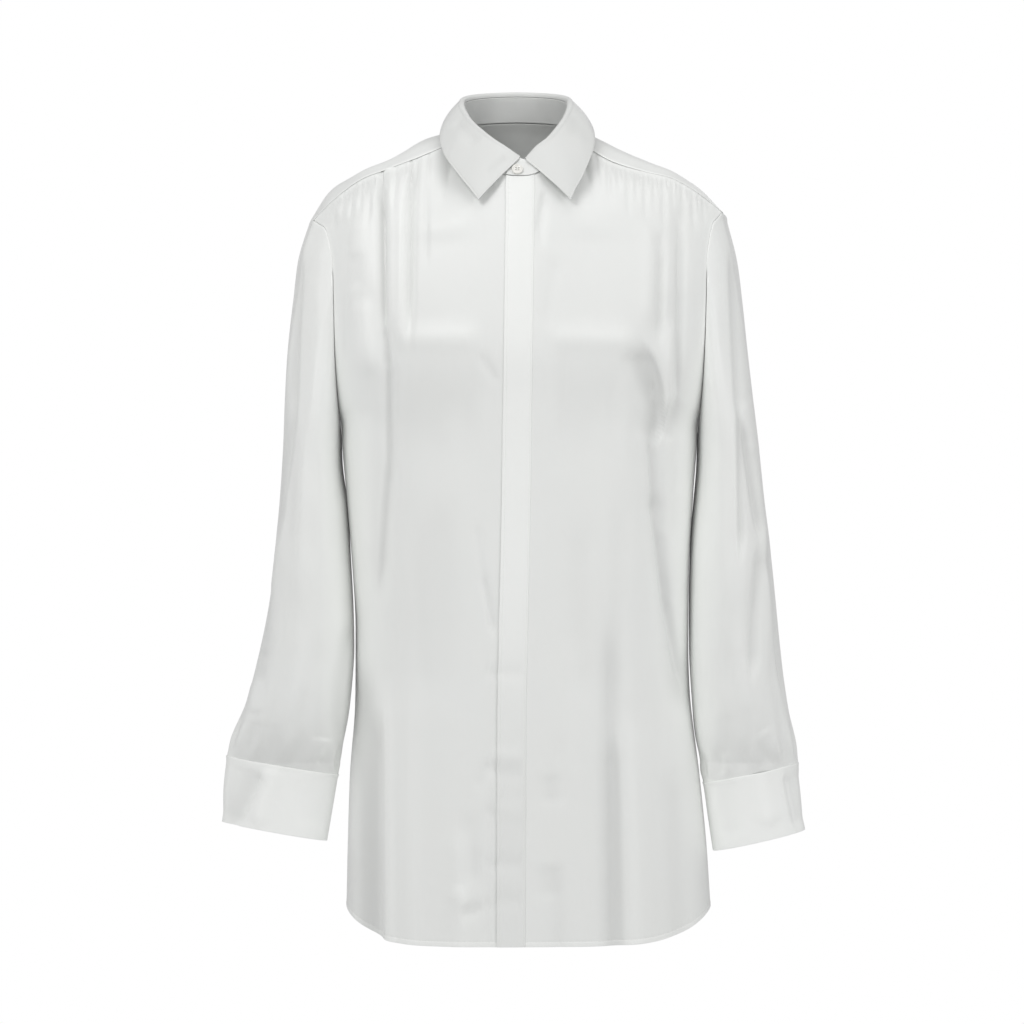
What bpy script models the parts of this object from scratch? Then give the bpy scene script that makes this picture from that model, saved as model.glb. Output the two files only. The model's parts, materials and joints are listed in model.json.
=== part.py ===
"""A silk shirt with a gathered yoke, made panel by panel as thin walls of cloth.

Each panel is a smooth surface through named sections. Tables of folds and gathers move it in and out, and
the wall goes inward from it. The tables are in millimetres: x to the viewer's right, y to the back, z up,
with the origin between the shoulders. "Left" in a table's column means the side at minus x.
"""
import math

import bmesh
import bpy
import numpy as np
from mathutils import Matrix, Vector

MM = 0.001

# Driving dimensions, in millimetres
CLOTH_WALL = 1.1
PLACKET_WALL = 1.6
STAND_WALL = 1.3
LEAF_WALL = 1.4
CUFF_WALL = 1.5
SEAM_GAP = 0.3
ARMHOLE_GAP = 0.5
PLACKET_HALF = 14.1
UNDERLAP_EDGE = 9.2
UNDERLAP_GAP = 0.6
COLLAR_ROLL = 3.0
LEAF_FOOT = 2.0
LEAF_BULGE = 3.2
STAND_OVERLAP = 14.0
STAND_LIFT = 0.8
STAND_BELOW_ROLL = 2.9
STAND_TOP_FRONT = (4.0, -85.2, -6.4)
STAND_END_ROUND = 9.0
LAP_GAP = 0.6
SHOULDER_ROUND = 5.0
NECK_CENTRE = (0, -12, 0)
BUTTON_RADIUS = 5.6
BUTTON_HEIGHT = 2.2
BUTTON_HOLE = 0.75
BUTTON_HOLE_CENTRE = 1.7
BUTTON_FROM_CENTRE = 3.5
UNDERARM_DROP = 285
SIDE_INSET = 0.4

# Shares and turns
BUTTON_STAND_SHARE = 0.42
STAND_STEP_TURN, STAND_STEP_RUN = 1.72, 0.2
CUFF_SHARES = (0.0, 0.5, 1.0)
CUFF_LAP_START = math.radians(285)
CUFF_LAP = math.radians(22)
CUFF_STEP_START, CUFF_STEP_RUN = 0.7, 0.55
CUFF_BUTTON_TURN = math.radians(12)
ARMHOLE_BLEND, CUFF_BLEND, CUFF_BLEND_POWER = 0.42, 0.16, 2.5
PLACKET_TOP_SHARE = 0.22

# Mesh densities: rows by their drop from the top edge or share of the length, and columns
GUIDE_SAMPLES = 49
NECK_SAMPLES = 40
SEAM_SAMPLES = 60
RING_SAMPLES = 80
SIDE_SCALE = 200.0
SEAM_CALM = 22.0
FRONT_FINE = 38
FRONT_COARSE = 14
BACK_FINE = 44
BACK_COARSE = 22
SHARED_DROPS = (UNDERARM_DROP, 315, 350, 395, 440, 490, 540, 590, 640, 690, 735, 774)
FRONT_FINE_DROPS = (0.4, 8, 18, 32, 50, 70)
FRONT_DROPS = (92, 118, 150, 185, 218, 252) + SHARED_DROPS
BACK_FINE_DROPS = (0.4, 8, 22, 42, 66)
BACK_DROPS = (95, 130, 170, 210, 248) + SHARED_DROPS
YOKE_MESH_SHARES = np.linspace(0, 1, 13)
YOKE_MESH_COLUMNS = np.concatenate([
    np.linspace(0, 2, 7), np.linspace(2, 6, 15)[1:], np.linspace(6, 8, 7)[1:],
])
SLEEVE_SHARES = (0.05, 0.1, 0.16, 0.23, 0.31, 0.39, 0.47, 0.55, 0.63, 0.71, 0.79, 0.86)
SLEEVE_FINE_SHARES = (0.91, 0.945, 0.972)
SLEEVE_COARSE, SLEEVE_FINE = 20, 44
CUFF_COLUMNS, CUFF_ROWS = 31, 4
BUTTON_SEGMENTS = 24
HOLE_SEGMENTS = 8


def table(columns, *rows):
    """Give each named column of a table as an array."""
    return dict(zip(columns.split(), np.array(rows, float).T))


def points_of(rows, *names):
    """Stack three named columns into points."""
    return np.stack([rows[name] for name in names], axis=-1)


# Sections of the two fronts. Each goes from the centre line to the armhole or side seam on both sides.
FRONT = table(
    "drop zc yc xl yl zl xr yr zr turn power rise",
    (50, -52, -102, -190, -46, -71, 194, -46, -66, 52, 2.0, 1.0),
    (90, -92, -111, -183, -54, -96, 188, -54, -94, 56, 2.0, 1.0),
    (140, -140, -119, -181, -58, -140, 186.5, -58, -140, 62, 2.0, 1.0),
    (195, -195, -124, -180, -52, -195, 185, -52, -195, 72, 2.0, 1.0),
    (245, -245, -119, -177.5, -32, -243, 182.5, -32, -243, 82, 2.1, 1.0),
    (285, -285, -116, -175, 3, -276, 180, 3, -276, 90, 2.3, 1.5),
    (340, -340, -114, -170.5, 3, -335, 176, 3, -335, 90, 2.4, 2.0),
    (405, -405, -113, -165, 3, -400, 172, 3, -400, 90, 2.5, 2.0),
    (475, -475, -112, -161.5, 3, -470, 171, 3, -470, 90, 2.5, 2.0),
    (550, -550, -112, -162, 3, -542, 173.5, 3, -542, 90, 2.5, 2.0),
    (625, -625, -112, -167, 3, -612, 182, 3, -612, 90, 2.5, 3.0),
    (690, -692, -113, -169, 3, -674, 188.5, 3, -674, 90, 2.5, 4.5),
    (774, -775, -114, -170.5, 3, -745, 193.5, 3, -745, 90, 2.5, 6.5),
)

# Sections of the back, as above. Below the underarm its side points are the fronts' own.
BACK = table(
    "drop zc yc xl yl zl xr yr zr turn power rise",
    (40, -98, 102, -189, 55, -108, 193, 55, -106, 48, 2.0, 1.0),
    (90, -150, 106, -185, 59, -150, 190, 59, -150, 58, 2.0, 1.0),
    (145, -200, 108, -182.5, 54, -200, 187.5, 54, -200, 70, 2.0, 1.0),
    (235, -246, 107, -179, 34, -245, 184, 34, -245, 80, 2.0, 1.0),
    (285, -285, 105, -175, 3, -276, 180, 3, -276, 90, 2.1, 1.5),
    (340, -340, 102, -170.5, 3, -335, 176, 3, -335, 90, 2.2, 2.0),
    (405, -405, 98, -165, 3, -400, 172, 3, -400, 90, 2.3, 2.0),
    (475, -475, 96, -161.5, 3, -470, 171, 3, -470, 90, 2.3, 2.0),
    (550, -550, 99, -162, 3, -542, 173.5, 3, -542, 90, 2.3, 2.0),
    (625, -625, 106, -167, 3, -612, 182, 3, -612, 90, 2.3, 3.0),
    (690, -692, 110, -169, 3, -674, 188.5, 3, -674, 90, 2.3, 4.5),
    (774, -772, 112, -170.5, 3, -745, 193.5, 3, -745, 90, 2.3, 6.5),
)

# The placket's centre line, which is the centre line of both fronts.
CENTRE_LINE = table("z x", (-24, 3.3), (-350, -1.0), (-540, -5.1), (-775, -5.7))

# Front half of the neck seam, from the centre front to the yoke's corner.
NECK_FRONT = table(
    "x y z",
    (3, -95, -24),
    (14, -94.3, -22.8),
    (27, -88.5, -15.5),
    (44, -72, -0.5),
    (56, -50, 11),
    (61, -36, 15.5),
)

# The yoke as columns of points fanning from the neck (share 0) to its outer edge (share 1).
YOKE_SHARES = (0.0, 0.2, 0.45, 0.7, 0.88, 1.0)
YOKE_COLUMNS = {
    "front_seam_left": ((-61, -36, 15.5), (-92, -47, 1.5), (-128, -48, -12.5), (-160, -46, -26), (-187, -40, -47),
                        (-202, -30, -62)),
    "ridge_left": ((-65, 3, 27), (-94, 6, 20), (-129, 9, -1), (-164, 9, -16), (-190, 7, -34), (-207, 4, -61)),
    "corner_left": ((-57, 36, 36), (-84, 45, 23), (-116, 52, -1), (-148, 56, -24), (-178, 54, -52), (-194, 48, -82)),
    "quarter_left": ((-33, 58, 41), (-45, 67, 28), (-62, 77, 8), (-80, 86, -18), (-93, 91, -44), (-101, 93, -68)),
    "centre": ((0, 65, 43), (0, 74, 31), (0, 84, 10), (0, 91, -16), (0, 95, -40), (0, 97, -60)),
    "quarter_right": ((33, 58, 41), (45, 67, 28), (62, 77, 8), (80, 86, -18), (94, 91, -44), (103, 93, -67)),
    "corner_right": ((57, 36, 36), (82, 45, 22), (115, 52, 0), (150, 56, -23), (180, 54, -50), (198, 48, -79)),
    "ridge_right": ((65, 3, 27), (88, 6, 18), (126, 9, 0), (162, 9, -16), (188, 7, -33), (210, 4, -58)),
    "front_seam_right": ((61, -36, 15.5), (90, -47, -3), (126, -48, -15), (158, -46, -23.5), (184, -40, -39),
                         (204, -30, -54)),
}
YOKE_CENTRE = 4
YOKE_CORNER = 2
YOKE_LAST = 8

# Sleeve sections by height, level ovals: outermost and innermost x, half depth and centre depth.
SLEEVE = {
    -1: table(
        "z out inside depth middle",
        (-600, -290, -177, 44, -17),
        (-580, -284, -173, 52, -16),
        (-540, -269, -168, 62, -14),
        (-490, -257, -167, 66, -11),
        (-440, -248, -168, 68, -8),
        (-390, -242, -170.5, 70, -6),
        (-340, -237, -174, 71, -4),
        (-290, -233.5, -178, 70, -2),
        (-240, -231.5, -178.5, 68, -1),
        (-190, -229, -178, 64, 0),
        (-140, -224, -178, 60, 1),
        (-100, -219, -178, 56, 2),
        (-60, -206, -178, 52, 3),
    ),
    1: table(
        "z out inside depth middle",
        (-600, 279, 184, 44, -15),
        (-580, 276, 180.5, 52, -14),
        (-540, 269, 177, 62, -12),
        (-490, 263, 174.5, 66, -10),
        (-440, 258, 174.5, 68, -8),
        (-390, 253, 175.5, 70, -6),
        (-340, 247, 179.5, 71, -4),
        (-290, 242, 183, 70, -2),
        (-240, 236, 183.5, 68, -1),
        (-190, 230, 183, 64, 0),
        (-140, 224.5, 183, 60, 1),
        (-100, 219, 183, 56, 2),
        (-60, 209, 183, 52, 3),
    ),
}

# Cuff rings: outer and inner x and z, half depth and centre depth.
CUFF = {
    -1: table(
        "out z_out inside z_inside depth middle",
        (-289, -595, -178, -614, 23, -18),
        (-293, -628, -183.5, -647, 22, -18.5),
        (-294, -660, -189, -679, 22, -19),
    ),
    1: table(
        "out z_out inside z_inside depth middle",
        (280, -602, 185.5, -622, 31, -16),
        (284, -635, 190, -655, 30, -16.5),
        (287, -668, 195, -689, 30, -17),
    ),
}

# Top of the collar's fold and its outer edge, from the front end to the centre back.
COLLAR = {
    -1: table(
        "fold_x fold_y fold_z edge_x edge_y edge_z",
        (-0.5, -86, 0.8, -38, -108, -47.8),
        (-12, -82, 7, -46, -100, -37),
        (-26, -72, 17, -56, -90, -24),
        (-44, -50, 34, -68, -75, -7),
        (-51, -32, 45, -73.5, -60, 4),
        (-55.5, -10, 57.5, -77, -34, 19),
        (-53, 17, 65, -76, 10, 33),
        (-42, 41, 70, -62, 49, 38),
        (-22, 56, 73, -34, 71, 34),
        (0, 60, 74, 0, 79, 31),
    ),
    1: table(
        "fold_x fold_y fold_z edge_x edge_y edge_z",
        (9.6, -86, -1.6, 52.4, -108, -47.5),
        (19, -82, 7, 57, -101, -37),
        (32, -72, 18, 64, -90, -24),
        (44.5, -50, 35, 71, -75, -7),
        (50, -32, 46, 75, -60, 4),
        (53, -10, 58, 77.5, -34, 19),
        (51, 17, 65, 76, 10, 33),
        (41, 41, 70, 62, 49, 38),
        (22, 56, 73, 34, 71, 34),
        (0, 60, 74, 0, 79, 31),
    ),
}

# Folds of the fronts as seen from the front: a line from one end to the other, how far it bows to its side,
# its half width and its depth (plus is a ridge, minus a trough). One that ends below HEM_FOLD runs out at the hem.
HEM_FOLD = -770
FOLD_FADE_IN, FOLD_FADE_OUT = 0.2, 0.25
FRONT_FOLDS = table(
    "x0 z0 x1 z1 bow width depth",
    (-117, -16, -117, -200, 0, 10, 4.5),
    (-103, -8, -104, -205, 0, 4, -2.2),
    (-132, -20, -126, -200, 0, 5, -2.6),
    (-126, -170, -124, -330, 2, 6, -2.4),
    (-124, -290, -133, -450, 2, 7, -2.6),
    (-156, -40, -150, -225, 0, 15, 3.5),
    (-37, -197, -18, -228, 0, 5, -1.4),
    (-34, -407, -19, -478, 0, 6, -1.4),
    (32, -34, 21, -100, 3, 6, -1.8),
    (39, -100, 26, -180, 2, 9, -1.2),
    (159, -28, 156, -280, 0, 6, -2.6),
    (156, -240, 153, -400, 0, 7, -2.0),
    (142, -70, 137, -195, 0, 5, -2.2),
    (112, -190, 137, -250, 3, 11, -5.5),
    (138, -238, 130, -300, 0, 8, -5.0),
    (131, -280, 135, -360, 0, 9, -3.4),
    (134, -330, 146, -440, 2, 10, -3.2),
    (144, -410, 166, -560, 3, 11, -3.4),
    (-134, -540, -133, -774, 0, 10, -4.5),
    (-109, -500, -104, -774, 0, 16, 2.2),
    (91, -575, 94, -774, 0, 9, -4.5),
    (112, -540, 118, -774, 0, 13, 2.6),
    (150, -600, 156, -774, 0, 13, -2.4),
    (-56, -660, -54, -774, 0, 11, 2.0),
    (-41, -670, -43, -760, 0, 7, -1.8),
    (-25, -594, -40, -624, 0, 6, -1.2),
    (39, -690, 41, -774, 0, 8, -1.4),
    (60, -350, 66, -560, 2, 18, -1.6),
    (-78, -330, -74, -560, -3, 20, -1.6),
    (-150, -240, -146, -420, 0, 12, 1.8),
)

# Folds of the back as seen from the front, by the same rule.
BACK_FOLDS = table(
    "x0 z0 x1 z1 bow width depth",
    (-12, -62, -14, -330, 0, 9, 3.2),
    (8, -62, 7, -300, 0, 8, -2.4),
    (-34, -62, -36, -260, 0, 8, -2.4),
    (60, -70, 66, -280, 0, 14, 2.4),
    (-78, -70, -84, -300, 0, 14, 2.6),
    (-120, -80, -126, -250, 0, 12, -2.6),
    (122, -80, 130, -270, 0, 12, -2.6),
    (148, -250, 120, -420, 6, 12, -3.0),
    (-150, -250, -118, -440, -6, 12, -3.0),
    (-40, -350, -52, -620, 3, 18, -2.4),
    (46, -330, 58, -620, -3, 18, -2.4),
    (0, -380, -4, -660, 0, 18, 2.4),
    (-98, -500, -104, -774, 0, 13, -4.0),
    (98, -520, 108, -774, 0, 13, -4.0),
    (-60, -560, -62, -774, 0, 16, 2.6),
    (62, -560, 64, -774, 0, 16, 2.6),
    (-8, -600, -6, -774, 0, 13, -3.2),
    (-138, -560, -136, -774, 0, 12, 2.4),
    (146, -560, 152, -774, 0, 12, 2.4),
)

# Gathers under the yoke: distance along x at the seam, how long each runs down, half width and depth.
GATHERS_FRONT = table(
    "x length width depth",
    (-189, 32, 2.6, -1.5), (-181, 48, 2.6, -1.6), (-172, 40, 2.8, -1.5), (-163, 58, 2.8, -1.6),
    (-154, 42, 2.8, -1.7), (-145.5, 62, 2.8, -1.7), (-137, 46, 2.7, -1.6), (-128.5, 38, 2.6, -1.4),
    (-120, 56, 2.6, -1.5), (-111, 40, 2.6, -1.4), (-99, 60, 3.0, -1.6), (-87, 36, 3.0, -1.3),
    (79, 40, 3.0, -1.4), (90, 56, 2.8, -1.6), (99.5, 38, 2.6, -1.5), (109, 62, 2.6, -1.6),
    (117.5, 44, 2.6, -1.7), (126, 60, 2.7, -1.7), (135, 42, 2.7, -1.6), (144, 66, 2.8, -1.6),
    (153.5, 40, 2.8, -1.5), (163.5, 54, 2.8, -1.7), (174, 50, 2.8, -1.6), (184.5, 36, 2.6, -1.5),
)
GATHERS_BACK = table(
    "x length width depth",
    (-158, 60, 4.6, -1.8), (-141, 84, 4.6, -2.0), (-124, 62, 4.6, -1.9), (-107, 90, 4.6, -2.0),
    (-90, 64, 4.6, -1.8), (-73, 82, 4.6, -1.8), (-56, 58, 4.6, -1.5), (56, 60, 4.6, -1.5),
    (73, 86, 4.6, -1.8), (90, 62, 4.6, -1.9), (107, 88, 4.6, -2.0), (124, 60, 4.6, -1.9),
    (141, 80, 4.6, -2.0), (158, 58, 4.6, -1.8),
)
GATHER_START = 3.0
GATHER_FADE_IN = 8.0
GATHER_FADE_OUT = 0.7

# Sleeve folds by angle round the arm (0 outer, 90 front, 180 inner, 270 back) and share of its length.
SLEEVE_FOLDS = table(
    "angle0 share0 angle1 share1 width depth",
    (62, 0.30, 52, 0.62, 14, -3.0),
    (100, 0.26, 92, 0.58, 15, -2.2),
    (38, 0.40, 30, 0.78, 13, 2.4),
    (80, 0.60, 66, 0.92, 13, -3.4),
    (112, 0.66, 98, 0.95, 12, -2.8),
    (48, 0.74, 40, 0.96, 11, -2.6),
    (262, 0.30, 276, 0.64, 15, -3.0),
    (300, 0.24, 310, 0.60, 15, -2.6),
    (240, 0.50, 250, 0.86, 13, -2.8),
    (285, 0.64, 292, 0.95, 12, -3.2),
    (322, 0.70, 326, 0.95, 11, -2.4),
)
CUFF_GATHERS = 12
CUFF_GATHER_DEPTH = 1.6
CUFF_GATHER_START = 0.9
CUFF_GATHER_IN, CUFF_GATHER_OUT = 0.06, 0.035
CUFF_GATHER_SHIFT = 30
SLEEVE_FOLD_FADE = 0.3

# Button outline from its back to its face: radius and height as shares of the button's own.
BUTTON_PROFILE = table(
    "radius height",
    (0.86, 0.0),
    (1.0, 0.32),
    (1.0, 0.72),
    (0.9, 1.0),
    (0.74, 0.98),
    (0.62, 0.72),
)

MATERIALS = {
    "silk": ((0.80, 0.805, 0.775), 0.45),
    "button": ((0.84, 0.83, 0.79), 0.28),
}


def slopes_at(stops, values):
    """Slopes of a line that never swings past its own values: none at a turn, and limited elsewhere."""
    runs = np.diff(stops).reshape((-1,) + (1,) * (values.ndim - 1))
    steps = np.diff(values, axis=0) / runs
    slopes = np.gradient(values, stops, axis=0)
    limit = 3 * np.minimum(np.abs(steps[:-1]), np.abs(steps[1:]))
    slopes[1:-1] = np.where(steps[:-1] * steps[1:] > 0, np.clip(slopes[1:-1], -limit, limit), 0)
    return slopes


def along(stops, values, at):
    """Read a smooth line through values at rising stops. With one value for each point, at picks per point."""
    stops = np.asarray(stops, float)
    values = np.asarray(values, float)
    at = np.clip(at, stops[0], stops[-1])
    slopes = slopes_at(stops, values)
    i = np.clip(np.searchsorted(stops, at, side="right") - 1, 0, len(stops) - 2)
    span = stops[i + 1] - stops[i]
    t = (at - stops[i]) / span
    if values.ndim == 3:
        each = np.arange(values.shape[1])
        low, high, slope_low, slope_high = values[i, each], values[i + 1, each], slopes[i, each], slopes[i + 1, each]
    else:
        low, high, slope_low, slope_high = values[i], values[i + 1], slopes[i], slopes[i + 1]
    if low.ndim > t.ndim:
        t, span = t[..., None], span[..., None]
    return (
        low * (1 + 2 * t) * (1 - t) ** 2
        + high * t ** 2 * (3 - 2 * t)
        + span * (slope_low * t * (1 - t) ** 2 - slope_high * t ** 2 * (1 - t))
    )


def ease(t):
    """Go smoothly from 0 at 0 to 1 at 1."""
    t = np.clip(t, 0.0, 1.0)
    return t * t * (3 - 2 * t)


def lengths_along(points):
    """Distance of each point from the first, along the line."""
    steps = np.linalg.norm(np.diff(points, axis=0), axis=1)
    return np.concatenate([[0.0], np.cumsum(steps)])


def evenly(points, count):
    """Place count points at even spacing along a line of points."""
    far = lengths_along(points)
    return at_shares(points, far / far[-1], np.linspace(0, 1, count))


def at_shares(points, shares, at):
    """Read a line of points at shares of its length."""
    return np.stack([np.interp(at, shares, points[:, axis]) for axis in range(3)], axis=-1)


def unit(vectors):
    """Scale vectors to length 1."""
    return vectors / np.maximum(np.linalg.norm(vectors, axis=-1, keepdims=True), 1e-9)


def centre_x(z):
    """Place of the centre line at a height."""
    return np.interp(z, CENTRE_LINE["z"][::-1], CENTRE_LINE["x"][::-1])


def section(centre, side, turn, power, rise):
    """Carry part of a rounded oval from the centre line to the side, turning by turn degrees."""
    theta = np.linspace(0, math.radians(turn), 4 * GUIDE_SAMPLES)
    across = np.sin(theta) ** (2 / power)
    depth = np.clip(np.cos(theta), 0, 1) ** (2 / power)
    across = across / across[-1]
    depth = (depth - depth[-1]) / (1 - depth[-1])
    line = np.stack([
        centre[0] + (side[0] - centre[0]) * across,
        side[1] + (centre[1] - side[1]) * depth,
        centre[2] + (side[2] - centre[2]) * across ** rise,
    ], axis=-1)
    return evenly(line, GUIDE_SAMPLES)


def yoke_points(column, share):
    """Surface of the yoke: column 0 to 8 round the neck, share 0 to 1 from the neck outward."""
    column, share = np.broadcast_arrays(np.asarray(column, float), np.asarray(share, float))
    flat = share.ravel()
    columns = np.stack([along(YOKE_SHARES, points, flat) for points in YOKE_COLUMNS.values()])
    rounded = np.sin(math.pi * flat)[:, None] * np.array([0, 0, SHOULDER_ROUND])
    between = [(columns[a] + columns[b]) / 2 + rounded for a, b in ((0, 1), (-1, -2))]
    columns = np.concatenate([columns[:1], between[:1], columns[1:-1], between[1:], columns[-1:]])
    stops = np.concatenate([[0, 0.5], np.arange(1, YOKE_LAST), [YOKE_LAST - 0.5, YOKE_LAST]])
    return along(stops, columns, column.ravel()).reshape(column.shape + (3,))


def front_top(sign):
    """Top edge of one front: half the neck seam, then the yoke seam out to the armhole."""
    mirror = np.array([sign, 1, 1])
    rows = points_of(NECK_FRONT, "x", "y", "z")
    neck = along(np.arange(len(rows)), rows, np.linspace(0, len(rows) - 1, NECK_SAMPLES)) * mirror
    neck[:, 0] += (centre_x(rows[0, 2]) - neck[0, 0]) * np.linspace(1, 0, NECK_SAMPLES) ** 2
    seam = yoke_points(0.0 if sign < 0 else float(YOKE_LAST), np.linspace(0, 1, SEAM_SAMPLES))
    return neck, seam


def front_guides(sign):
    """Guide lines of one front, top edge first. The second rounds the cloth over the shoulder."""
    neck, seam = front_top(sign)
    x, y, z = ("xl", "yl", "zl") if sign < 0 else ("xr", "yr", "zr")
    lines = [evenly(np.vstack([neck, seam[1:]]), GUIDE_SAMPLES)]
    for row in range(len(FRONT["drop"])):
        centre = (centre_x(FRONT["zc"][row]), FRONT["yc"][row], FRONT["zc"][row])
        side = (FRONT[x][row], FRONT[y][row], FRONT[z][row])
        lines.append(section(centre, side, FRONT["turn"][row], FRONT["power"][row], FRONT["rise"][row]))
    corner = lengths_along(neck)[-1] / lengths_along(lines[0])[-1]
    places = np.linspace(0, 1, GUIDE_SAMPLES)
    swell = np.sin(math.pi * np.clip((places - corner) / (1 - corner), 0, 1)) ** 0.7
    rounded = (lines[0] + lines[1]) / 2 + swell[:, None] * np.array([0, -SHOULDER_ROUND, SHOULDER_ROUND])
    return np.array(lines[:1] + [rounded] + lines[1:])


def back_guides(sign):
    """Guide lines of one half of the back, from the centre back to the side."""
    x, y, z = ("xl", "yl", "zl") if sign < 0 else ("xr", "yr", "zr")
    corner = YOKE_CORNER if sign < 0 else YOKE_LAST - YOKE_CORNER
    lines = [evenly(yoke_points(np.linspace(YOKE_CENTRE, corner, SEAM_SAMPLES), 1.0), GUIDE_SAMPLES)]
    for row in range(len(BACK["drop"])):
        centre = (0.0, BACK["yc"][row], BACK["zc"][row])
        side = (BACK[x][row], BACK[y][row], BACK[z][row])
        lines.append(section(centre, side, BACK["turn"][row], BACK["power"][row], BACK["rise"][row]))
    return np.array(lines)


class Panel:
    """A body panel: guide lines of both halves and the drops down from the top edge that they lie at."""

    def __init__(self, left, right, drops):
        self.guides = {-1: left, 1: right}
        self.drops = np.concatenate([np.linspace(0, drops[0], len(left) - len(drops) + 1), drops[1:]])
        self.lengths = {side: np.array([lengths_along(line)[-1] for line in lines])
                        for side, lines in self.guides.items()}

    def shares(self, label, drop):
        """Turn labels into shares of the half line. Near the centre a label is a distance in millimetres."""
        near = np.minimum(np.abs(label), PLACKET_HALF)
        beyond = np.maximum(np.abs(label) - PLACKET_HALF, 0) / SIDE_SCALE
        length = np.where(label < 0, np.interp(drop, self.drops, self.lengths[-1]),
                          np.interp(drop, self.drops, self.lengths[1]))
        share = near / length
        return share + (1 - PLACKET_HALF / length) * beyond

    def base(self, label, drop):
        """Points of the plain panel at labels across and drops down."""
        label, drop = np.broadcast_arrays(np.asarray(label, float), np.asarray(drop, float))
        flat_label, flat_drop = label.ravel(), drop.ravel()
        share = self.shares(flat_label, flat_drop)
        result = np.empty((flat_label.size, 3))
        places = np.linspace(0, 1, GUIDE_SAMPLES)
        for side, guides in self.guides.items():
            chosen = (flat_label < 0) if side < 0 else (flat_label >= 0)
            lines = np.stack([at_shares(line, places, share[chosen]) for line in guides])
            result[chosen] = along(self.drops, lines, flat_drop[chosen])
        return result.reshape(label.shape + (3,))

    def points(self, label, drop, relief):
        """Points of the folded panel: the plain one moved along its normal by the relief."""
        plain = self.base(label, drop)
        step = 1.5
        above, below = np.maximum(drop - step, 0), np.minimum(drop + step, self.drops[-1])
        across = self.base(label + step, drop) - self.base(label - step, drop)
        down = self.base(label, below) - self.base(label, above)
        normal = unit(np.cross(across, down))
        normal = normal * np.where(np.sum(normal * from_axis(plain), axis=-1, keepdims=True) < 0, -1, 1)
        still = ease((PLACKET_HALF + SIDE_SCALE - np.abs(label)) / SEAM_CALM)
        return plain + normal * (still * relief(plain))[..., None]


def fold_relief(points, folds):
    """Sum of soft ridges and troughs: each is depth * exp(-(distance / width)^2), eased in at its ends."""
    total = np.zeros(points.shape[:-1])
    for x0, z0, x1, z1, bow, width, depth in zip(*folds.values()):
        run = np.array([x1 - x0, z1 - z0])
        length = np.linalg.norm(run)
        run = run / length
        offset = np.stack([points[..., 0] - x0, points[..., 2] - z0], axis=-1)
        t = (offset @ run) / length
        aside = offset @ np.array([run[1], -run[0]]) - bow * 4 * t * (1 - t)
        fade = ease(t / FOLD_FADE_IN) * (1.0 if z1 < HEM_FOLD else ease((1 - t) / FOLD_FADE_OUT))
        total += depth * fade * np.exp(-((aside / width) ** 2))
    return total


def gather_relief(points, gathers, seam):
    """Short troughs hanging from a seam, which fade in just below it and out along their length."""
    total = np.zeros(points.shape[:-1])
    top = np.interp(points[..., 0], seam[:, 0], seam[:, 2])
    below = top - points[..., 2]
    for x, length, width, depth in zip(*gathers.values()):
        fade = ease((below - GATHER_START) / GATHER_FADE_IN) * ease((length - below) / (GATHER_FADE_OUT * length))
        total += depth * fade * np.exp(-(((points[..., 0] - x) / width) ** 2))
    return total


def strip(first, second, places_first, places_second):
    """Triangles between two rows of point numbers, matched by their places along the row."""
    faces = []
    i = j = 0
    while i < len(first) - 1 or j < len(second) - 1:
        if j == len(second) - 1 or (i < len(first) - 1 and places_first[i + 1] <= places_second[j + 1]):
            faces.append((first[i], second[j], first[i + 1]))
            i += 1
        else:
            faces.append((first[i], second[j], second[j + 1]))
            j += 1
    return faces


def sheet_faces(places, closed):
    """Triangles of a sheet whose rows may hold different numbers of points."""
    starts = np.concatenate([[0], np.cumsum([len(row) for row in places])])
    rows = []
    for start, row in zip(starts, places):
        numbers = list(range(start, start + len(row)))
        rows.append((numbers + numbers[:1], list(row) + [row[0] + closed]) if closed else (numbers, list(row)))
    faces = []
    for (a, places_a), (b, places_b) in zip(rows, rows[1:]):
        faces += strip(a, b, places_a, places_b)
    return faces


def sheet_normals(points, places, closed, outward):
    """Normals at the points of a sheet, turned to the side that outward gives."""
    flat = np.vstack(points)
    faces = np.array(sheet_faces(places, closed))
    a, b, c = flat[faces[:, 0]], flat[faces[:, 1]], flat[faces[:, 2]]
    face_normals = np.cross(b - a, c - a)
    total = np.zeros_like(flat)
    for corner in range(3):
        np.add.at(total, faces[:, corner], face_normals)
    total = unit(total)
    if np.sum(total * outward(flat)) < 0:
        total = -total
    return np.split(total, np.cumsum([len(row) for row in points])[:-1])


def from_axis(points):
    """Direction away from the body's upright axis."""
    return points * np.array([1, 1, 0])


def make_object(name, mesh_builder, material):
    """Make an object in metres from a filled bmesh."""
    mesh = bpy.data.meshes.new(name)
    builder = bmesh.new()
    mesh_builder(builder)
    bmesh.ops.recalc_face_normals(builder, faces=builder.faces)
    builder.to_mesh(mesh)
    builder.free()
    mesh.shade_smooth()
    mesh.set_sharp_from_angle(angle=math.radians(50))
    mesh.materials.append(material)
    made = bpy.data.objects.new(name, mesh)
    bpy.context.scene.collection.objects.link(made)
    return made


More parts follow.
